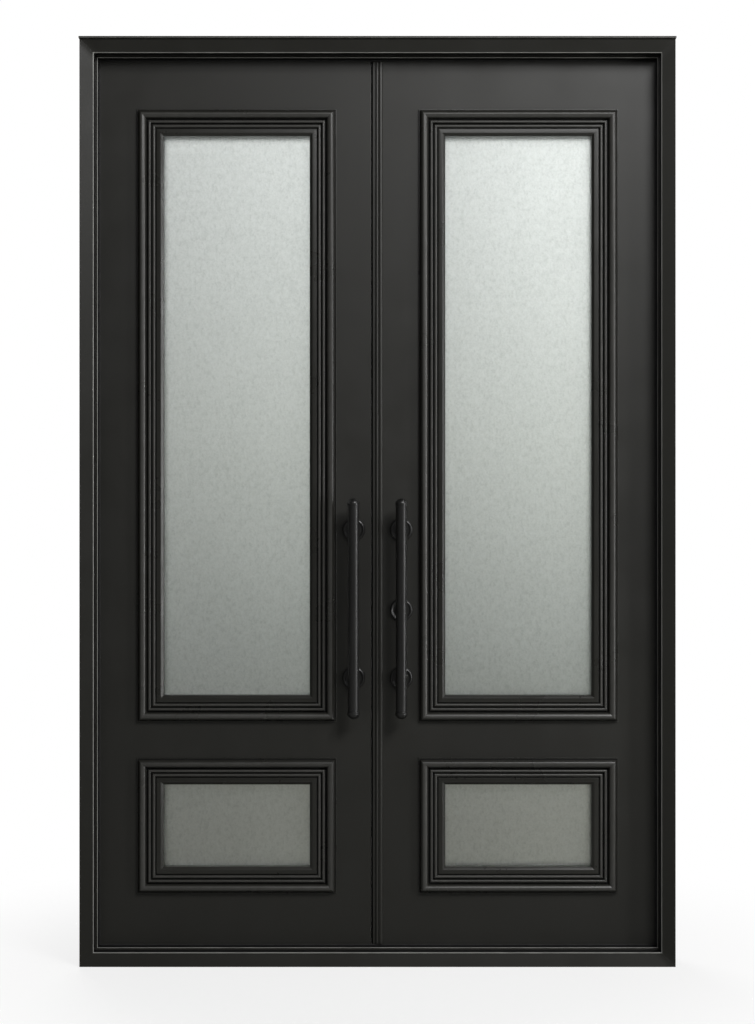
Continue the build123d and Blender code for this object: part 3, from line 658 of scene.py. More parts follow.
class GeometryTree(NodeKit):
    """Geometry node tree with named inputs, the first for a geometry and the last for a finish."""

    def __init__(self, name: str, **inputs: str) -> None:
        """Start a tree.

        Args:
            name: Name of the tree.
            **inputs: Kind of socket of each input, with underscores for the spaces in its name.
        """
        super().__init__(bpy.data.node_groups.new(name, "GeometryNodeTree"))
        self.keys: dict[str, str] = {}
        face = self.tree.interface
        for word, kind in {"Geometry": "Geometry", **inputs, "Finish": "Material"}.items():
            label = word.replace("_", " ")
            socket = face.new_socket(label, in_out="INPUT", socket_type=f"NodeSocket{kind}")
            self.keys[label] = socket.identifier
        face.new_socket("Geometry", in_out="OUTPUT", socket_type="NodeSocketGeometry")
        self.start = self.node("NodeGroupInput", {})
        self.end = self.node("NodeGroupOutput", {})

    def given(self, label: str) -> Socket:
        """Socket of one of the tree's inputs."""
        return self.start.outputs[label]

    def close(self, geometry: Socket) -> None:
        """Realize what was made, give it the finish and join it to the output.

        Args:
            geometry: Socket with what was made.
        """
        real = self.node("GeometryNodeRealizeInstances", {0: geometry})
        dressed = self.node("GeometryNodeSetMaterial", {0: real.outputs[0], "Material": self.given("Finish")})
        self.feed(self.end.inputs[0], dressed.outputs[0])

    def bake(self, name: str, host: bpy.types.Mesh, values: dict[str, object]) -> bpy.types.Object:
        """Run the tree on a mesh and keep the result as a plain mesh object.

        Args:
            name: Name of the object to make.
            host: Mesh that the tree starts from.
            values: Values of the tree's inputs by their names.

        Returns:
            The new object, at the origin.
        """
        carrier = added(f"{name}_carrier", host)
        modifier = carrier.modifiers.new("shape", "NODES")
        modifier.node_group = self.tree
        for label, value in values.items():
            modifier[self.keys[label]] = value
        graph = bpy.context.evaluated_depsgraph_get()
        mesh = bpy.data.meshes.new_from_object(carrier.evaluated_get(graph))
        mesh.name = name
        carrier.modifiers.remove(modifier)
        bpy.data.objects.remove(carrier)
        return added(name, mesh)


def mitred_sweep() -> GeometryTree:
    """Tree that sweeps a section round an upright rectangle and mitres its corners.

    Returns:
        The tree. Its section is drawn with its width stretched by the square root of two.
    """
    tree = GeometryTree(
        "mitred_sweep", Section="Object", Width="Float", Height="Float", Centre="Vector", Mitre_Edge="Float"
    )
    sides = {side: tree.given(side) for side in ("Width", "Height")}
    path = tree.node("GeometryNodeCurvePrimitiveQuadrilateral", sides)
    level = tree.node("GeometryNodeSetCurveNormal", {0: path.outputs[0]}, mode="Z_UP")
    section = tree.node("GeometryNodeObjectInfo", {"Object": tree.given("Section")})
    swept = tree.node("GeometryNodeCurveToMesh", {0: level.outputs[0], 1: section.outputs["Geometry"]})
    smooth = tree.node("GeometryNodeSetShadeSmooth", {0: swept.outputs[0]})
    ends = tree.node("GeometryNodeInputMeshEdgeVertices", {})
    length = tree.node(
        "ShaderNodeVectorMath", {0: ends.outputs["Position 1"], 1: ends.outputs["Position 2"]}, operation="DISTANCE"
    )
    mitre = tree.node(
        "FunctionNodeCompare", {0: length.outputs["Value"], 1: tree.given("Mitre Edge")}, operation="LESS_THAN"
    )
    crisp = tree.node(
        "GeometryNodeSetShadeSmooth",
        {0: smooth.outputs[0], "Selection": mitre.outputs[0], "Shade Smooth": False},
        domain="EDGE",
    )
    stood = tree.node(
        "GeometryNodeTransform",
        {0: crisp.outputs[0], "Translation": tree.given("Centre"), "Rotation": (math.pi / 2, 0.0, 0.0)},
    )
    tree.close(stood.outputs[0])
    return tree


def screw_rows() -> GeometryTree:
    """Tree that sets a screw on each point of a mesh, each at its own turn.

    Returns:
        The tree.
    """
    tree = GeometryTree("screw_rows", Screw="Object", Facing="Rotation", Seed="Int")
    screw = tree.node("GeometryNodeObjectInfo", {"Object": tree.given("Screw"), "As Instance": True})
    placed = tree.node(
        "GeometryNodeInstanceOnPoints",
        {
            "Points": tree.given("Geometry"),
            "Instance": screw.outputs["Geometry"],
            "Rotation": tree.given("Facing"),
        },
    )
    span = {"Seed": tree.given("Seed"), 2: 0.0, 3: math.pi}
    angle = tree.node("FunctionNodeRandomValue", span, data_type="FLOAT")
    spin = tree.node("ShaderNodeCombineXYZ", {2: angle.outputs[1]})
    turned = tree.node("GeometryNodeRotateInstances", {0: placed.outputs[0], "Rotation": spin.outputs[0]})
    tree.close(turned.outputs[0])
    return tree


# Shapes


def arc_through(start: Point, middle: Point, end: Point, steps: int) -> list[Point]:
    """Points of an arc through three points, without the first.

    Args:
        start: First point.
        middle: Point on the way.
        end: Last point.
        steps: Number of points.

    Returns:
        The points after the first, in order.
    """
    (ax, ay), (bx, by), (cx, cy) = start, middle, end
    det = 2 * (ax * (by - cy) + bx * (cy - ay) + cx * (ay - by))
    squares = [x * x + y * y for x, y in (start, middle, end)]
    ox = (squares[0] * (by - cy) + squares[1] * (cy - ay) + squares[2] * (ay - by)) / det
    oy = (squares[0] * (cx - bx) + squares[1] * (ax - cx) + squares[2] * (bx - ax)) / det
    angles = [math.atan2(y - oy, x - ox) for x, y in (start, middle, end)]
    turn = (angles[2] - angles[0]) % math.tau
    if (angles[1] - angles[0]) % math.tau > turn:
        turn -= math.tau
    radius = math.hypot(ax - ox, ay - oy)
    places = [angles[0] + turn * n / steps for n in range(1, steps + 1)]
    return [(ox + radius * math.cos(a), oy + radius * math.sin(a)) for a in places]


def eased(loop: Sequence[Point], radius: float, least_turn: float, steps: int) -> list[Point]:
    """Round the sharp corners of a closed loop.

    Args:
        loop: Corners in order.
        radius: Radius of the rounding, which short sides make smaller.
        least_turn: Turn, in radians, from which a corner counts as sharp.
        steps: Number of segments of each rounding.

    Returns:
        The loop with its sharp corners rounded.
    """
    points: list[Point] = []
    for n, corner in enumerate(loop):
        here = Vector(corner)
        before = Vector(loop[n - 1]) - here
        after = Vector(loop[(n + 1) % len(loop)]) - here
        turn = math.pi - before.angle(after)
        if turn < least_turn:
            points.append(corner)
            continue
        shorter = min(before.length, after.length)
        run = min(radius * math.tan(turn / 2), shorter * CORNER_SHARE)
        first, last = here + before.normalized() * run, here + after.normalized() * run
        for step in range(steps + 1):
            share = step / steps
            point = first * (1 - share) ** 2 + here * 2 * share * (1 - share) + last * share**2
            points.append((point.x, point.y))
    return points


@dataclass
class MouldingSection:
    """Section of the stepped moulding, as shares of its width and height."""

    width: float = 0.071
    height: float = 0.018
    leg_width: float = 0.012
    arris: float = 0.0006
    arris_steps: int = 3
    sharp_turn: float = math.radians(28)
    arc_steps: int = 12
    rows: tuple[tuple[Point, ...], ...] = (
        ((0.000, 0.15),),
        ((0.040, 0.15),),
        ((0.046, 0.05),),
        ((0.068, 0.05),),
        ((0.068, 0.42),),
        ((0.118, 0.87), (0.211, 1.00)),
        ((0.300, 0.86), (0.366, 0.52)),
        ((0.366, 0.22),),
        ((0.430, 0.22),),
        ((0.430, 0.44),),
        ((0.483, 0.65), (0.536, 0.44)),
        ((0.536, 0.20),),
        ((0.576, 0.20),),
        ((0.576, 0.28),),
        ((0.640, 0.51), (0.704, 0.28)),
        ((0.704, 0.14),),
        ((0.742, 0.14),),
        ((0.742, 0.34),),
        ((0.900, 0.34),),
        ((1.000, 0.05),),
        ((1.000, 0.00),),
    )
    # Spans that take the painted shade of the hollows and the painted highlight of the crests, as shares across and
    # up
    hollows: tuple[Place, ...] = (
        (0.038, 0.072, 0.16),
        (0.360, 0.436, 0.24),
        (0.530, 0.582, 0.22),
        (0.698, 0.748, 0.16),
    )
    crests: tuple[Place, ...] = ((0.17, 0.33, 0.75), (0.44, 0.525, 0.50), (0.60, 0.69, 0.36))

    def outline(self, leg_depth: float) -> list[Point]:
        """Closed outline in metres, across from the outer edge and up from the leaf.

        Args:
            leg_depth: Depth of the leg that reaches back to the glass.

        Returns:
            Points of the outline.
        """
        points: list[Point] = [(0.0, 0.0)]
        for row in self.rows:
            sized = [(across * self.width, up * self.height) for across, up in row]
            if len(sized) == 1:
                points.append(sized[0])
            else:
                points += arc_through(points[-1], *sized, self.arc_steps)
        inner = self.width - self.leg_width
        points[-1:] = [(self.width, -leg_depth), (inner, -leg_depth), (inner, 0.0)]
        return eased(points, self.arris, self.sharp_turn, self.arris_steps)

    def relief(self, across: float, up: float) -> float:
        """How a point lies on the section.

        Args:
            across: Distance from the outer edge in metres.
            up: Height over the leaf in metres.

        Returns:
            1 on a crest, -1 in a hollow and 0 elsewhere.
        """
        share, rise = across / self.width, up / self.height
        if any(start <= share <= end and rise <= top for start, end, top in self.hollows):
            return -1.0
        if any(start <= share <= end and rise >= top for start, end, top in self.crests):
            return 1.0
        return 0.0

    def mark(self, mesh: bpy.types.Mesh, low: Vector, high: Vector, seat: float) -> None:
        """Write on each point of a swept mesh how it lies on the section.

        Args:
            mesh: Swept mesh.
            low: Lowest corner of the moulding.
            high: Highest corner of the moulding.
            seat: Y of the leaf's face.
        """
        marks = mesh.attributes.new(RELIEF, "FLOAT", "POINT")
        for vert, mark in zip(mesh.vertices, marks.data):
            x, y, z = vert.co
            across = min(x - low.x, high.x - x, z - low.z, high.z - z)
            mark.value = self.relief(across, abs(y - seat))

    def curve(self, name: str, facing: Facing, leg_depth: float) -> bpy.types.Object:
        """Curve of the outline, stretched across for the mitres.

        Args:
            name: Name of the curve.
            facing: Side of the leaf that the moulding is on.
            leg_depth: Depth of the leg that reaches back to the glass.

        Returns:
            Curve object for the sweep.
        """
        data = bpy.data.curves.new(name, "CURVE")
        data.dimensions = "2D"
        data.fill_mode = "NONE"
        spline = data.splines.new("POLY")
        points = self.outline(leg_depth)
        spline.points.add(len(points) - 1)
        for point, (across, up) in zip(spline.points, points):
            point.co = (-across * math.sqrt(2), facing.value * up, 0.0, 1.0)
        spline.use_cyclic_u = True
        return added(name, data)


def write_outward(work: bmesh.types.BMesh, mesh: bpy.types.Mesh) -> None:
    """Turn the faces of a closed shape outwards and write it to a mesh.

    Args:
        work: The shape, which is freed.
        mesh: Mesh that takes it.
    """
    bmesh.ops.recalc_face_normals(work, faces=work.faces)
    work.to_mesh(mesh)
    work.free()


@dataclass
class MouldingSet:
    """Stepped mouldings round the lights of both leaves, outside and inside."""

    section: MouldingSection = field(default_factory=MouldingSection)
    mitre_edge: float = 0.05
    glass_gap: float = 0.0003
    lights: tuple[str, ...] = ("upper", "lower")

    def build(self) -> list[bpy.types.Object]:
        """Sweep every moulding in place of its node.

        Returns:
            The pieces.
        """
        tree = mitred_sweep()
        made = []
        for facing in Facing:
            low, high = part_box(f"left_upper_{facing.name.lower()}_moulding")
            depth = high.y - low.y
            leg = depth - self.section.height - self.glass_gap
            curve = self.section.curve(f"section_{facing.name.lower()}", facing, leg)
            for side in Side:
                made += [self.sweep(tree, curve, side, light, facing) for light in self.lights]
            bpy.data.objects.remove(curve)
        return made

    def sweep(
        self, tree: GeometryTree, curve: bpy.types.Object, side: Side, light: str, facing: Facing
    ) -> bpy.types.Object:
        """Sweep one moulding.

        Args:
            tree: Tree that sweeps.
            curve: Section to sweep.
            side: Leaf that carries it.
            light: Light that it goes round.
            facing: Side of the leaf that it is on.

        Returns:
            The piece, riding on its leaf.
        """
        node = f"{side.word}_{light}_{facing.name.lower()}_moulding"
        low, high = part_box(node)
        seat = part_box(f"{side.word}_top_rail")[0 if facing is Facing.OUTER else 1].y
        values = {
            "Section": curve,
            "Width": high.x - low.x,
            "Height": high.z - low.z,
            "Centre": ((low.x + high.x) / 2, seat, (low.z + high.z) / 2),
            "Mitre Edge": self.mitre_edge,
            "Finish": RACK.take(MOULDING_PAINT),
        }
        piece = tree.bake(f"{node}_swept", bpy.data.meshes.new("path"), values)
        work = bmesh.new()
        work.from_mesh(piece.data)
        write_outward(work, piece.data)
        self.section.mark(piece.data, low, high, seat)
        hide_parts(node)
        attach(piece, side.body)
        return piece


@dataclass
class SplayedFrame:
    """Jambs, head and threshold with their front faces splayed back toward the doorway."""

    slope: float = FRAME_SPLAY
    full_before: float = -0.0555
    none_behind: float = -0.0220
    merge: float = 1e-6
    inward: tuple[tuple[str, Place], ...] = (
        ("left_jamb", (1.0, 0.0, 0.0)),
        ("right_jamb", (-1.0, 0.0, 0.0)),
        ("head", (0.0, 0.0, -1.0)),
        ("threshold", (0.0, 0.0, 1.0)),
    )

    def build(self) -> list[bpy.types.Object]:
        """Splay a merged copy of each bar in place of its node.

        Returns:
            The pieces.
        """
        return [self.splay(name, Vector(inward)) for name, inward in self.inward]

    def shifted(self, place: Vector, normal: Vector, inset: float, inward: Vector) -> tuple[Vector, Vector]:
        """Where a corner of a face goes.

        Args:
            place: Where the corner is.
            normal: Normal of the surface there.
            inset: Distance from the bar's outer edge.
            inward: Direction from the outer edge to the doorway.

        Returns:
            The new place and the new normal.
        """
        ramp = self.none_behind - self.full_before
        share = min(1.0, max(0.0, (self.none_behind - place.y) / ramp))
        back = Vector((0.0, self.slope * inset * share, 0.0))
        lean = inward * self.slope * share
        if 0.0 < share < 1.0:
            lean.y -= self.slope * inset / ramp
        return place + back, (normal - lean * (normal.y / (1.0 + lean.y))).normalized()

    def splay(self, name: str, inward: Vector) -> bpy.types.Object:
        """Splay one bar.

        Args:
            name: Node of the bar.
            inward: Direction from its outer edge to the doorway.

        Returns:
            The piece, riding on the frame.
        """
        source = frame["nodes"][name].data
        outer = min(inward.dot(corner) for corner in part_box(name))
        numbers: dict[tuple[int, ...], int] = {}
        points, faces, normals = [], [], []
        for face in source.polygons:
            corners = []
            for loop in face.loop_indices:
                place = source.vertices[source.loops[loop].vertex_index].co
                inset = inward.dot(place) - outer
                moved, normal = self.shifted(place, source.corner_normals[loop].vector, inset, inward)
                number = numbers.setdefault(tuple(round(part / self.merge) for part in moved), len(points))
                if number == len(points):
                    points.append(moved)
                corners.append((number, normal))
            if len({number for number, _ in corners}) == len(corners):
                faces.append([number for number, _ in corners])
                normals += [normal for _, normal in corners]
        mesh = bpy.data.meshes.new(f"{name}_splayed")
        mesh.from_pydata(points, [], faces)
        mesh.shade_smooth()
        mesh.normals_split_custom_set(normals)
        mesh.materials.append(RACK.take(FRAME_PAINT))
        piece = added(f"{name}_splayed", mesh)
        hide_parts(name)
        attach(piece, "frame")
        return piece


@dataclass
class MeetingSeal:
    """Rubber fin on the right leaf's edge that bends against the left leaf."""

    base_width: float = 0.007
    base_thickness: float = 0.0012
    fin_thickness: float = 0.0013
    lean: float = 0.0016
    bend_share: float = 0.3
    tip_share: float = 1.5
    touch_gap: float = 0.00004
    corner: float = 0.0004
    corner_steps: int = 3
    sharp_turn: float = math.radians(20)
    node: str = "meeting_seal"

    def outline(self, edge: float, middle: float, reach: float) -> list[Point]:
        """Closed outline of the strip, seen from above.

        Args:
            edge: X of the right leaf's edge.
            middle: Y of the middle of the strip.
            reach: X of the left leaf's edge.

        Returns:
            Points of the outline, with its corners rounded.
        """
        half, fin = self.base_width / 2, self.fin_thickness / 2
        foot, tip = edge - self.base_thickness, reach + self.touch_gap
        bend = (foot + tip) / 2
        loop = [
            (edge, middle - half),
            (foot, middle - half),
            (foot, middle - fin),
            (bend, middle - fin + self.lean * self.bend_share),
            (tip, middle - fin + self.lean),
            (tip, middle + fin + self.lean * self.tip_share),
            (bend, middle + fin + self.lean * self.bend_share),
            (foot, middle + fin),
            (foot, middle + half),
            (edge, middle + half),
        ]
        return eased(loop, self.corner, self.sharp_turn, self.corner_steps)

    def build(self) -> list[bpy.types.Object]:
        """Draw the strip up the whole edge in place of its node.

        Returns:
            The piece.
        """
        low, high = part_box(self.node)
        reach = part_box("left_meeting_stile")[1].x
        loop = self.outline(high.x, (low.y + high.y) / 2, reach)
        work = bmesh.new()
        rings = [[work.verts.new((x, y, z)) for x, y in loop] for z in (low.z, high.z)]
        count = len(loop)
        for n in range(count):
            work.faces.new((rings[0][n], rings[0][(n + 1) % count], rings[1][(n + 1) % count], rings[1][n]))
        for ring in rings:
            work.faces.new(ring)
        mesh = bpy.data.meshes.new(f"{self.node}_strip")
        write_outward(work, mesh)
        mesh.materials.append(RACK.take(SLOT_FINISHES[Slot.SEAL_RUBBER]))
        piece = added(f"{self.node}_strip", mesh)
        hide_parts(self.node)
        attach(piece, Side.RIGHT.body)
        return [piece]


@dataclass
class ScrewHead:
    """Countersunk screw head with a cross recess, its seat at the origin and its axis along Z."""

    radius: float = 0.0042
    proud: float = 0.00025
    sunk: float = 0.0016
    arm: float = 0.0024
    arm_width: float = 0.0009
    recess: float = 0.0013
    recess_taper: float = 0.72
    foot_share: float = 0.62
    rim_share: float = 0.94
    rim_rise: float = 0.7

    def recess_reach(self, angle: float, share: float) -> float:
        """Distance from the middle to the cross's edge.

        Args:
            angle: Direction round the axis.
            share: Size of the cross as a share of its size at the top.

        Returns:
            The distance in metres.
        """
        off = (angle + math.pi / 4) % (math.pi / 2) - math.pi / 4
        along = self.arm * share / math.cos(off)
        if abs(off) < 1e-6:
            return along
        return min(along, self.arm_width / 2 * share / abs(math.sin(off)))

    def build(self) -> bpy.types.Object:
        """Make the head for the screw rows.

        Returns:
            Object with one head.
        """
        corner = math.atan2(self.arm_width / 2, self.arm)
        quarter = (-corner, corner, math.pi / 8, math.pi / 4, math.pi * 3 / 8)
        angles = [turn * math.pi / 2 + part for turn in range(4) for part in quarter]
        rings = [
            [(self.radius * self.foot_share, a, -self.sunk) for a in angles],
            [(self.radius, a, 0.0) for a in angles],
            [(self.radius * self.rim_share, a, self.proud * self.rim_rise) for a in angles],
            [(self.recess_reach(a, 1.0), a, self.proud) for a in angles],
            [(self.recess_reach(a, self.recess_taper), a, -self.recess) for a in angles],
        ]
        work = bmesh.new()
        verts = [
            [work.verts.new((r * math.cos(a), r * math.sin(a), z)) for r, a, z in ring] for ring in rings
        ]
        count = len(angles)
        for lower, upper in zip(verts, verts[1:]):
            for n in range(count):
                work.faces.new((lower[n], lower[(n + 1) % count], upper[(n + 1) % count], upper[n]))
        work.faces.new(verts[-1])
        work.faces.new(reversed(verts[0]))
        mesh = bpy.data.meshes.new("screw_head")
        write_outward(work, mesh)
        return added("screw_head", mesh)


@dataclass
class HingeScrews:
    """Where the screws of one leaf's hinges sit."""

    side: Side
    count: int = 4
    length: float = 0.110
    pin_head: float = 0.003
    plate_rows: tuple[float, ...] = (0.016, 0.055, 0.094)
    frame_inset: float = 0.010
    leaf_insets: tuple[float, ...] = (0.010, 0.024)
    leaf_rows: tuple[tuple[float, ...], ...] = ((0.014, 0.096), (0.038, 0.072))

    def feet(self) -> list[float]:
        """Height of the foot of each hinge.

        Returns:
            Heights in metres, from the lowest hinge up.
        """
        low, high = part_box(f"{self.side.word}_hinge_pins")
        step = (high.z - self.pin_head - self.length - low.z) / (self.count - 1)
        return [low.z + step * n for n in range(self.count)]

    def frame_seats(self) -> list[Place]:
        """Seats on the plates that the jamb carries.

        Returns:
            Place of each screw.
        """
        low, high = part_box(f"{self.side.word}_hinge_frame_plates")
        x = (high.x - self.frame_inset) if self.side is Side.RIGHT else (low.x + self.frame_inset)
        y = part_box("left_jamb")[1].y + self.pin_head
        return [(x, y, foot + row) for foot in self.feet() for row in self.plate_rows]

    def leaf_seats(self) -> list[Place]:
        """Seats on the plates that the leaf carries.

        Returns:
            Place of each screw.
        """
        low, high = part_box(f"{self.side.word}_hinge_leaf_plates")
        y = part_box("left_jamb")[1].y + self.pin_head
        seats = []
        for inset, rows in zip(self.leaf_insets, self.leaf_rows):
            x = (low.x + inset) if self.side is Side.RIGHT else (high.x - inset)
            seats += [(x, y, foot + row) for foot in self.feet() for row in rows]
        return seats


@dataclass
class PlateScrews:
    """Where the screws of the plates in the meeting edges sit."""

    lock_height: float = 0.932
    lock_spread: float = 0.065
    strike_spread: float = 0.046
    flush_inset: float = 0.240
    flush_spread: float = 0.062

    def lock_seats(self) -> list[Place]:
        """Seats on the lock's plate in the right leaf's edge.

        Returns:
            Place of each screw.
        """
        low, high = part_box("lock_case")
        y = (low.y + high.y) / 2
        return [(low.x, y, self.lock_height + self.lock_spread * sign) for sign in (-1, 1)]

    def left_seats(self) -> list[Place]:
        """Seats on the strike and the flush bolt plates in the left leaf's edge.

        Returns:
            Place of each screw.
        """
        low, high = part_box("meeting_edge_plates")
        foot, head = (corner.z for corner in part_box("left_hinge_stile"))
        y = (low.y + high.y) / 2
        spreads = {
            self.lock_height: self.strike_spread,
            foot + self.flush_inset: self.flush_spread,
            head - self.flush_inset: self.flush_spread,
        }
        return [(high.x, y, z + spread * sign) for z, spread in spreads.items() for sign in (-1, 1)]


@dataclass
class Fasteners:
    """Screws of the hinges and of the meeting edge plates."""

    head: ScrewHead = field(default_factory=ScrewHead)

    def build(self) -> list[bpy.types.Object]:
        """Set every row of screws on the body that carries it.

        Returns:
            The pieces.
        """
        tree = screw_rows()
        screw = self.head.build()
        inward = Matrix.Rotation(-math.pi / 2, 3, "X").to_euler()
        plates = PlateScrews()
        rows = []
        for side in Side:
            hinge = HingeScrews(side)
            rows.append((f"{side.word}_jamb_hinge_screws", "frame", hinge.frame_seats(), inward, HINGE_PAINT))
            rows.append((f"{side.word}_leaf_hinge_screws", side.body, hinge.leaf_seats(), inward, HINGE_PAINT))
        steel = SLOT_FINISHES[Slot.BRIGHT_STEEL]
        to_left = Matrix.Rotation(-math.pi / 2, 3, "Y").to_euler()
        to_right = Matrix.Rotation(math.pi / 2, 3, "Y").to_euler()
        rows.append(("lock_plate_screws", Side.RIGHT.body, plates.lock_seats(), to_left, steel))
        rows.append(("edge_plate_screws", Side.LEFT.body, plates.left_seats(), to_right, steel))
        made = [self.place(tree, screw, seed, *row) for seed, row in enumerate(rows, 1)]
        bpy.data.objects.remove(screw)
        return made

    def place(
        self,
        tree: GeometryTree,
        screw: bpy.types.Object,
        seed: int,
        name: str,
        body: str,
        seats: Sequence[Place],
        facing: Euler,
        finish: Finish,
    ) -> bpy.types.Object:
        """Set one row of screws.

        Args:
            tree: Tree that places the screws.
            screw: Screw to repeat.
            seed: Seed of the screws' turns.
            name: Name of the piece.
            body: Body that carries the screws.
            seats: Where each screw sits.
            facing: Turn that brings the screw's axis off its plate.
            finish: Finish of the screws.

        Returns:
            The piece, riding on its body.
        """
        points = bpy.data.meshes.new(f"{name}_seats")
        points.from_pydata(seats, [], [])
        values = {"Screw": screw, "Facing": facing, "Seed": seed, "Finish": RACK.take(finish)}
        piece = tree.bake(name, points, values)
        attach(piece, body)
        return piece


@dataclass
class CarriedNodes:
    """CAD nodes that are shown as they are, each with the finish of its slot."""

    leaf_words: tuple[str, ...] = ("stile", "rail")
    frame_words: tuple[str, ...] = ("cap",)

    def dress(self) -> list[str]:
        """Give each shown node its material.

        Returns:
            Names of the nodes.
        """
        slots = {row["node"]: Slot(row["material_slot"]) for row in frame["record"]["subparts"]}
        dressed = []
        for name, node in frame["nodes"].items():
            if node.hide_render:
                continue
            finish = SLOT_FINISHES[slots[name]]
            if name.endswith(self.leaf_words):
                finish = LEAF_PAINT
            if name.endswith(self.frame_words):
                finish = FRAME_PAINT
            for place in node.material_slots:
                place.link = "OBJECT"
                place.material = RACK.take(finish)
            dressed.append(name)
        return dressed


# Studio


@dataclass(frozen=True)
class Lamp:
    """Soft lamp: where it hangs, the point it faces, its width and height in metres, its power in watts."""

    name: str
    place: Place
    aim: Place
    size: Point
    power: float

    def hang(self) -> None:
        """Add the lamp to the scene."""
        data = bpy.data.lights.new(self.name, "AREA")
        data.shape = "RECTANGLE"
        data.size, data.size_y = self.size
        data.energy = self.power
        made = added(self.name, data)
        made.visible_camera = False
        made.location = self.place
        made.rotation_euler = (Vector(self.aim) - Vector(self.place)).to_track_quat("-Z", "Y").to_euler()


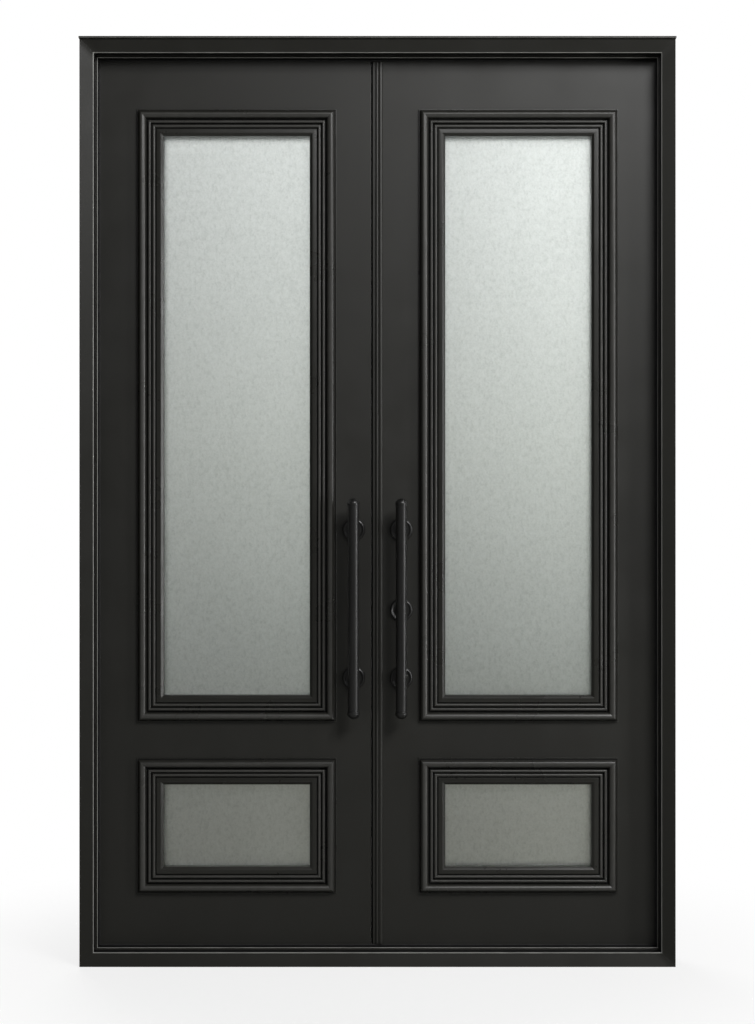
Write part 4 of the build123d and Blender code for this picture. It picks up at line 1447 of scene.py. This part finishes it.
@dataclass
class Studio:
    """Pale floor, soft light, a glowing card behind the glass that puts painted light into it, and the camera."""

    camera_place: Place = (0.0, -5.058, 1.192)
    lens: float = 67.1
    sensor: float = 36.0
    floor_reach: float = 30.0
    floor_colour: Colour = (0.95, 0.95, 0.94)
    floor_bounce: Colour = (0.36, 0.36, 0.34)
    floor_roughness: float = 0.9
    floor_specular: float = 0.1
    floor_glow: float = 0.75
    floor_fade: Point = (0.5, 1.6)
    ambient: float = 0.03
    gloss: float = 0.04
    lamps: tuple[Lamp, ...] = (
        Lamp("key", (2.55, -4.00, 4.60), (0.0, 0.0, 1.6), (1.8, 1.8), 205.0),
        Lamp("sheen", (0.38, -4.00, 3.50), (0.0, 0.0, 1.6), (1.2, 1.2), 16.0),
        Lamp("side", (3.60, -1.90, 1.50), (0.0, 0.0, 1.3), (0.6, 2.8), 45.0),
        Lamp("fill", (-2.80, -3.80, 1.60), (0.0, 0.0, 1.2), (2.6, 2.6), 3.0),
        Lamp("back", (-1.20, 3.60, 3.20), (0.0, 0.0, 1.2), (2.4, 2.4), 120.0),
    )
    card_back: float = 0.42
    card_half_width: float = 0.76
    card_foot: float = 0.02
    card_height: float = 2.40
    card_glow: float = 1.50
    # Painted light of the glowing card: brightness across it, then its colour from foot to head
    card_sides: tuple[Point, ...] = (
        (0.00, 0.58),
        (0.12, 0.62),
        (0.36, 0.80),
        (0.50, 0.76),
        (0.62, 0.74),
        (0.84, 1.00),
        (1.00, 1.00),
    )
    card_stops: tuple[tuple[float, Colour], ...] = (
        (0.00, (0.15, 0.15, 0.13)),
        (0.22, (0.17, 0.17, 0.15)),
        (0.30, (0.20, 0.21, 0.195)),
        (0.58, (0.455, 0.468, 0.443)),
        (1.00, (0.765, 0.775, 0.768)),
    )

    def build(self) -> None:
        """Set up everything round the door."""
        self.floor()
        self.card()
        self.world()
        for lamp in self.lamps:
            lamp.hang()
        self.camera()

    def sheet(self, name: str, corners: Sequence[Place], material: bpy.types.Material) -> bpy.types.Object:
        """Lay a flat stage sheet.

        Args:
            name: Name of the sheet.
            corners: Its four corners in order.
            material: Its material.

        Returns:
            The sheet.
        """
        mesh = bpy.data.meshes.new(name)
        mesh.from_pydata(corners, [], [(0, 1, 2, 3)])
        mesh.materials.append(material)
        made = added(name, mesh)
        return made

    def floor(self) -> None:
        """Pale floor that goes white for the camera away from the door."""
        tree = ShaderTree("pale_floor")
        seen = tree.node("ShaderNodeLightPath", {}).outputs["Is Camera Ray"]
        tree.set(
            Base_Color=tree.blend(seen, self.floor_bounce, self.floor_colour),
            Roughness=self.floor_roughness,
            Specular_IOR_Level=self.floor_specular,
        )
        far = tree.node("ShaderNodeVectorMath", {0: tree.coordinates["Object"]}, operation="LENGTH")
        near, away = self.floor_fade
        limits = {"Value": far.outputs["Value"], "From Min": near, "From Max": away, "To Min": self.floor_glow}
        fade = tree.node("ShaderNodeMapRange", limits, interpolation_type="SMOOTHSTEP")
        share = tree.times(fade.outputs["Result"], seen)
        white = tree.node("ShaderNodeEmission", {}).outputs["Emission"]
        mix = tree.node("ShaderNodeMixShader", {0: share, 1: tree.shader.outputs["BSDF"], 2: white})
        tree.show(mix.outputs["Shader"])
        r = self.floor_reach
        self.sheet("floor", ((-r, -r, 0.0), (r, -r, 0.0), (r, r, 0.0), (-r, r, 0.0)), tree.material)

    def card(self) -> None:
        """Glowing card that only the glass shows: painted light, brighter toward its head and its right side."""
        w, y, low, high = self.card_half_width, self.card_back, self.card_foot, self.card_height
        tree = ShaderTree("pale_card")
        x, _, z = tree.node("ShaderNodeSeparateXYZ", {0: tree.coordinates["Object"]}).outputs
        sides = [(share, (part, part, part)) for share, part in self.card_sides]
        level = tree.ranged(tree.ramp(tree.ranged(x, (-w, w)), sides), SHARE, (0.0, self.card_glow))
        colour = tree.ramp(tree.ranged(z, (0.0, high)), self.card_stops)
        tree.show(tree.node("ShaderNodeEmission", {"Color": colour, "Strength": level}).outputs["Emission"])
        tree.tree.nodes.remove(tree.shader)
        made = self.sheet("glass_card", ((-w, y, low), (w, y, low), (w, y, high), (-w, y, high)), tree.material)
        made.visible_camera = False
        made.visible_diffuse = False
        made.visible_glossy = False
        made.visible_shadow = False

    def world(self) -> None:
        """White for the camera and the glass, and plain grey light for gloss and for the rest."""
        world = bpy.data.worlds.new("studio")
        bpy.context.scene.world = world
        world.use_nodes = True
        tree = NodeKit(world.node_tree)
        path = tree.node("ShaderNodeLightPath", {}).outputs
        light = tree.ranged(path["Is Glossy Ray"], SHARE, (self.ambient, self.gloss))
        seen = tree.maths("MAXIMUM", path["Is Camera Ray"], path["Is Transmission Ray"])
        back = world.node_tree.nodes["Background"]
        tree.feed(back.inputs["Color"], rgba((1.0, 1.0, 1.0)))
        tree.feed(back.inputs["Strength"], tree.maths("MAXIMUM", light, seen))

    def camera(self) -> None:
        """Level camera square to the door."""
        data = bpy.data.cameras.new("camera")
        data.lens = self.lens
        data.sensor_width = self.sensor
        made = added("camera", data)
        made.location = self.camera_place
        made.rotation_euler = (math.pi / 2, 0.0, 0.0)
        bpy.context.scene.camera = made
        bpy.context.scene.view_settings.view_transform = "Standard"


def main() -> None:
    """Build the sub-assemblies in order and report each piece."""
    logging.basicConfig(level=logging.INFO, format="%(name)s %(message)s")
    for maker in (MouldingSet(), SplayedFrame(), MeetingSeal(), Fasteners()):
        for piece in maker.build():
            LOG.info("%s: %d faces", piece.name, len(piece.data.polygons))
    for name in CarriedNodes().dress():
        LOG.info("%s: carried over", name)
    Studio().build()


if __name__ == "__main__":
    main()
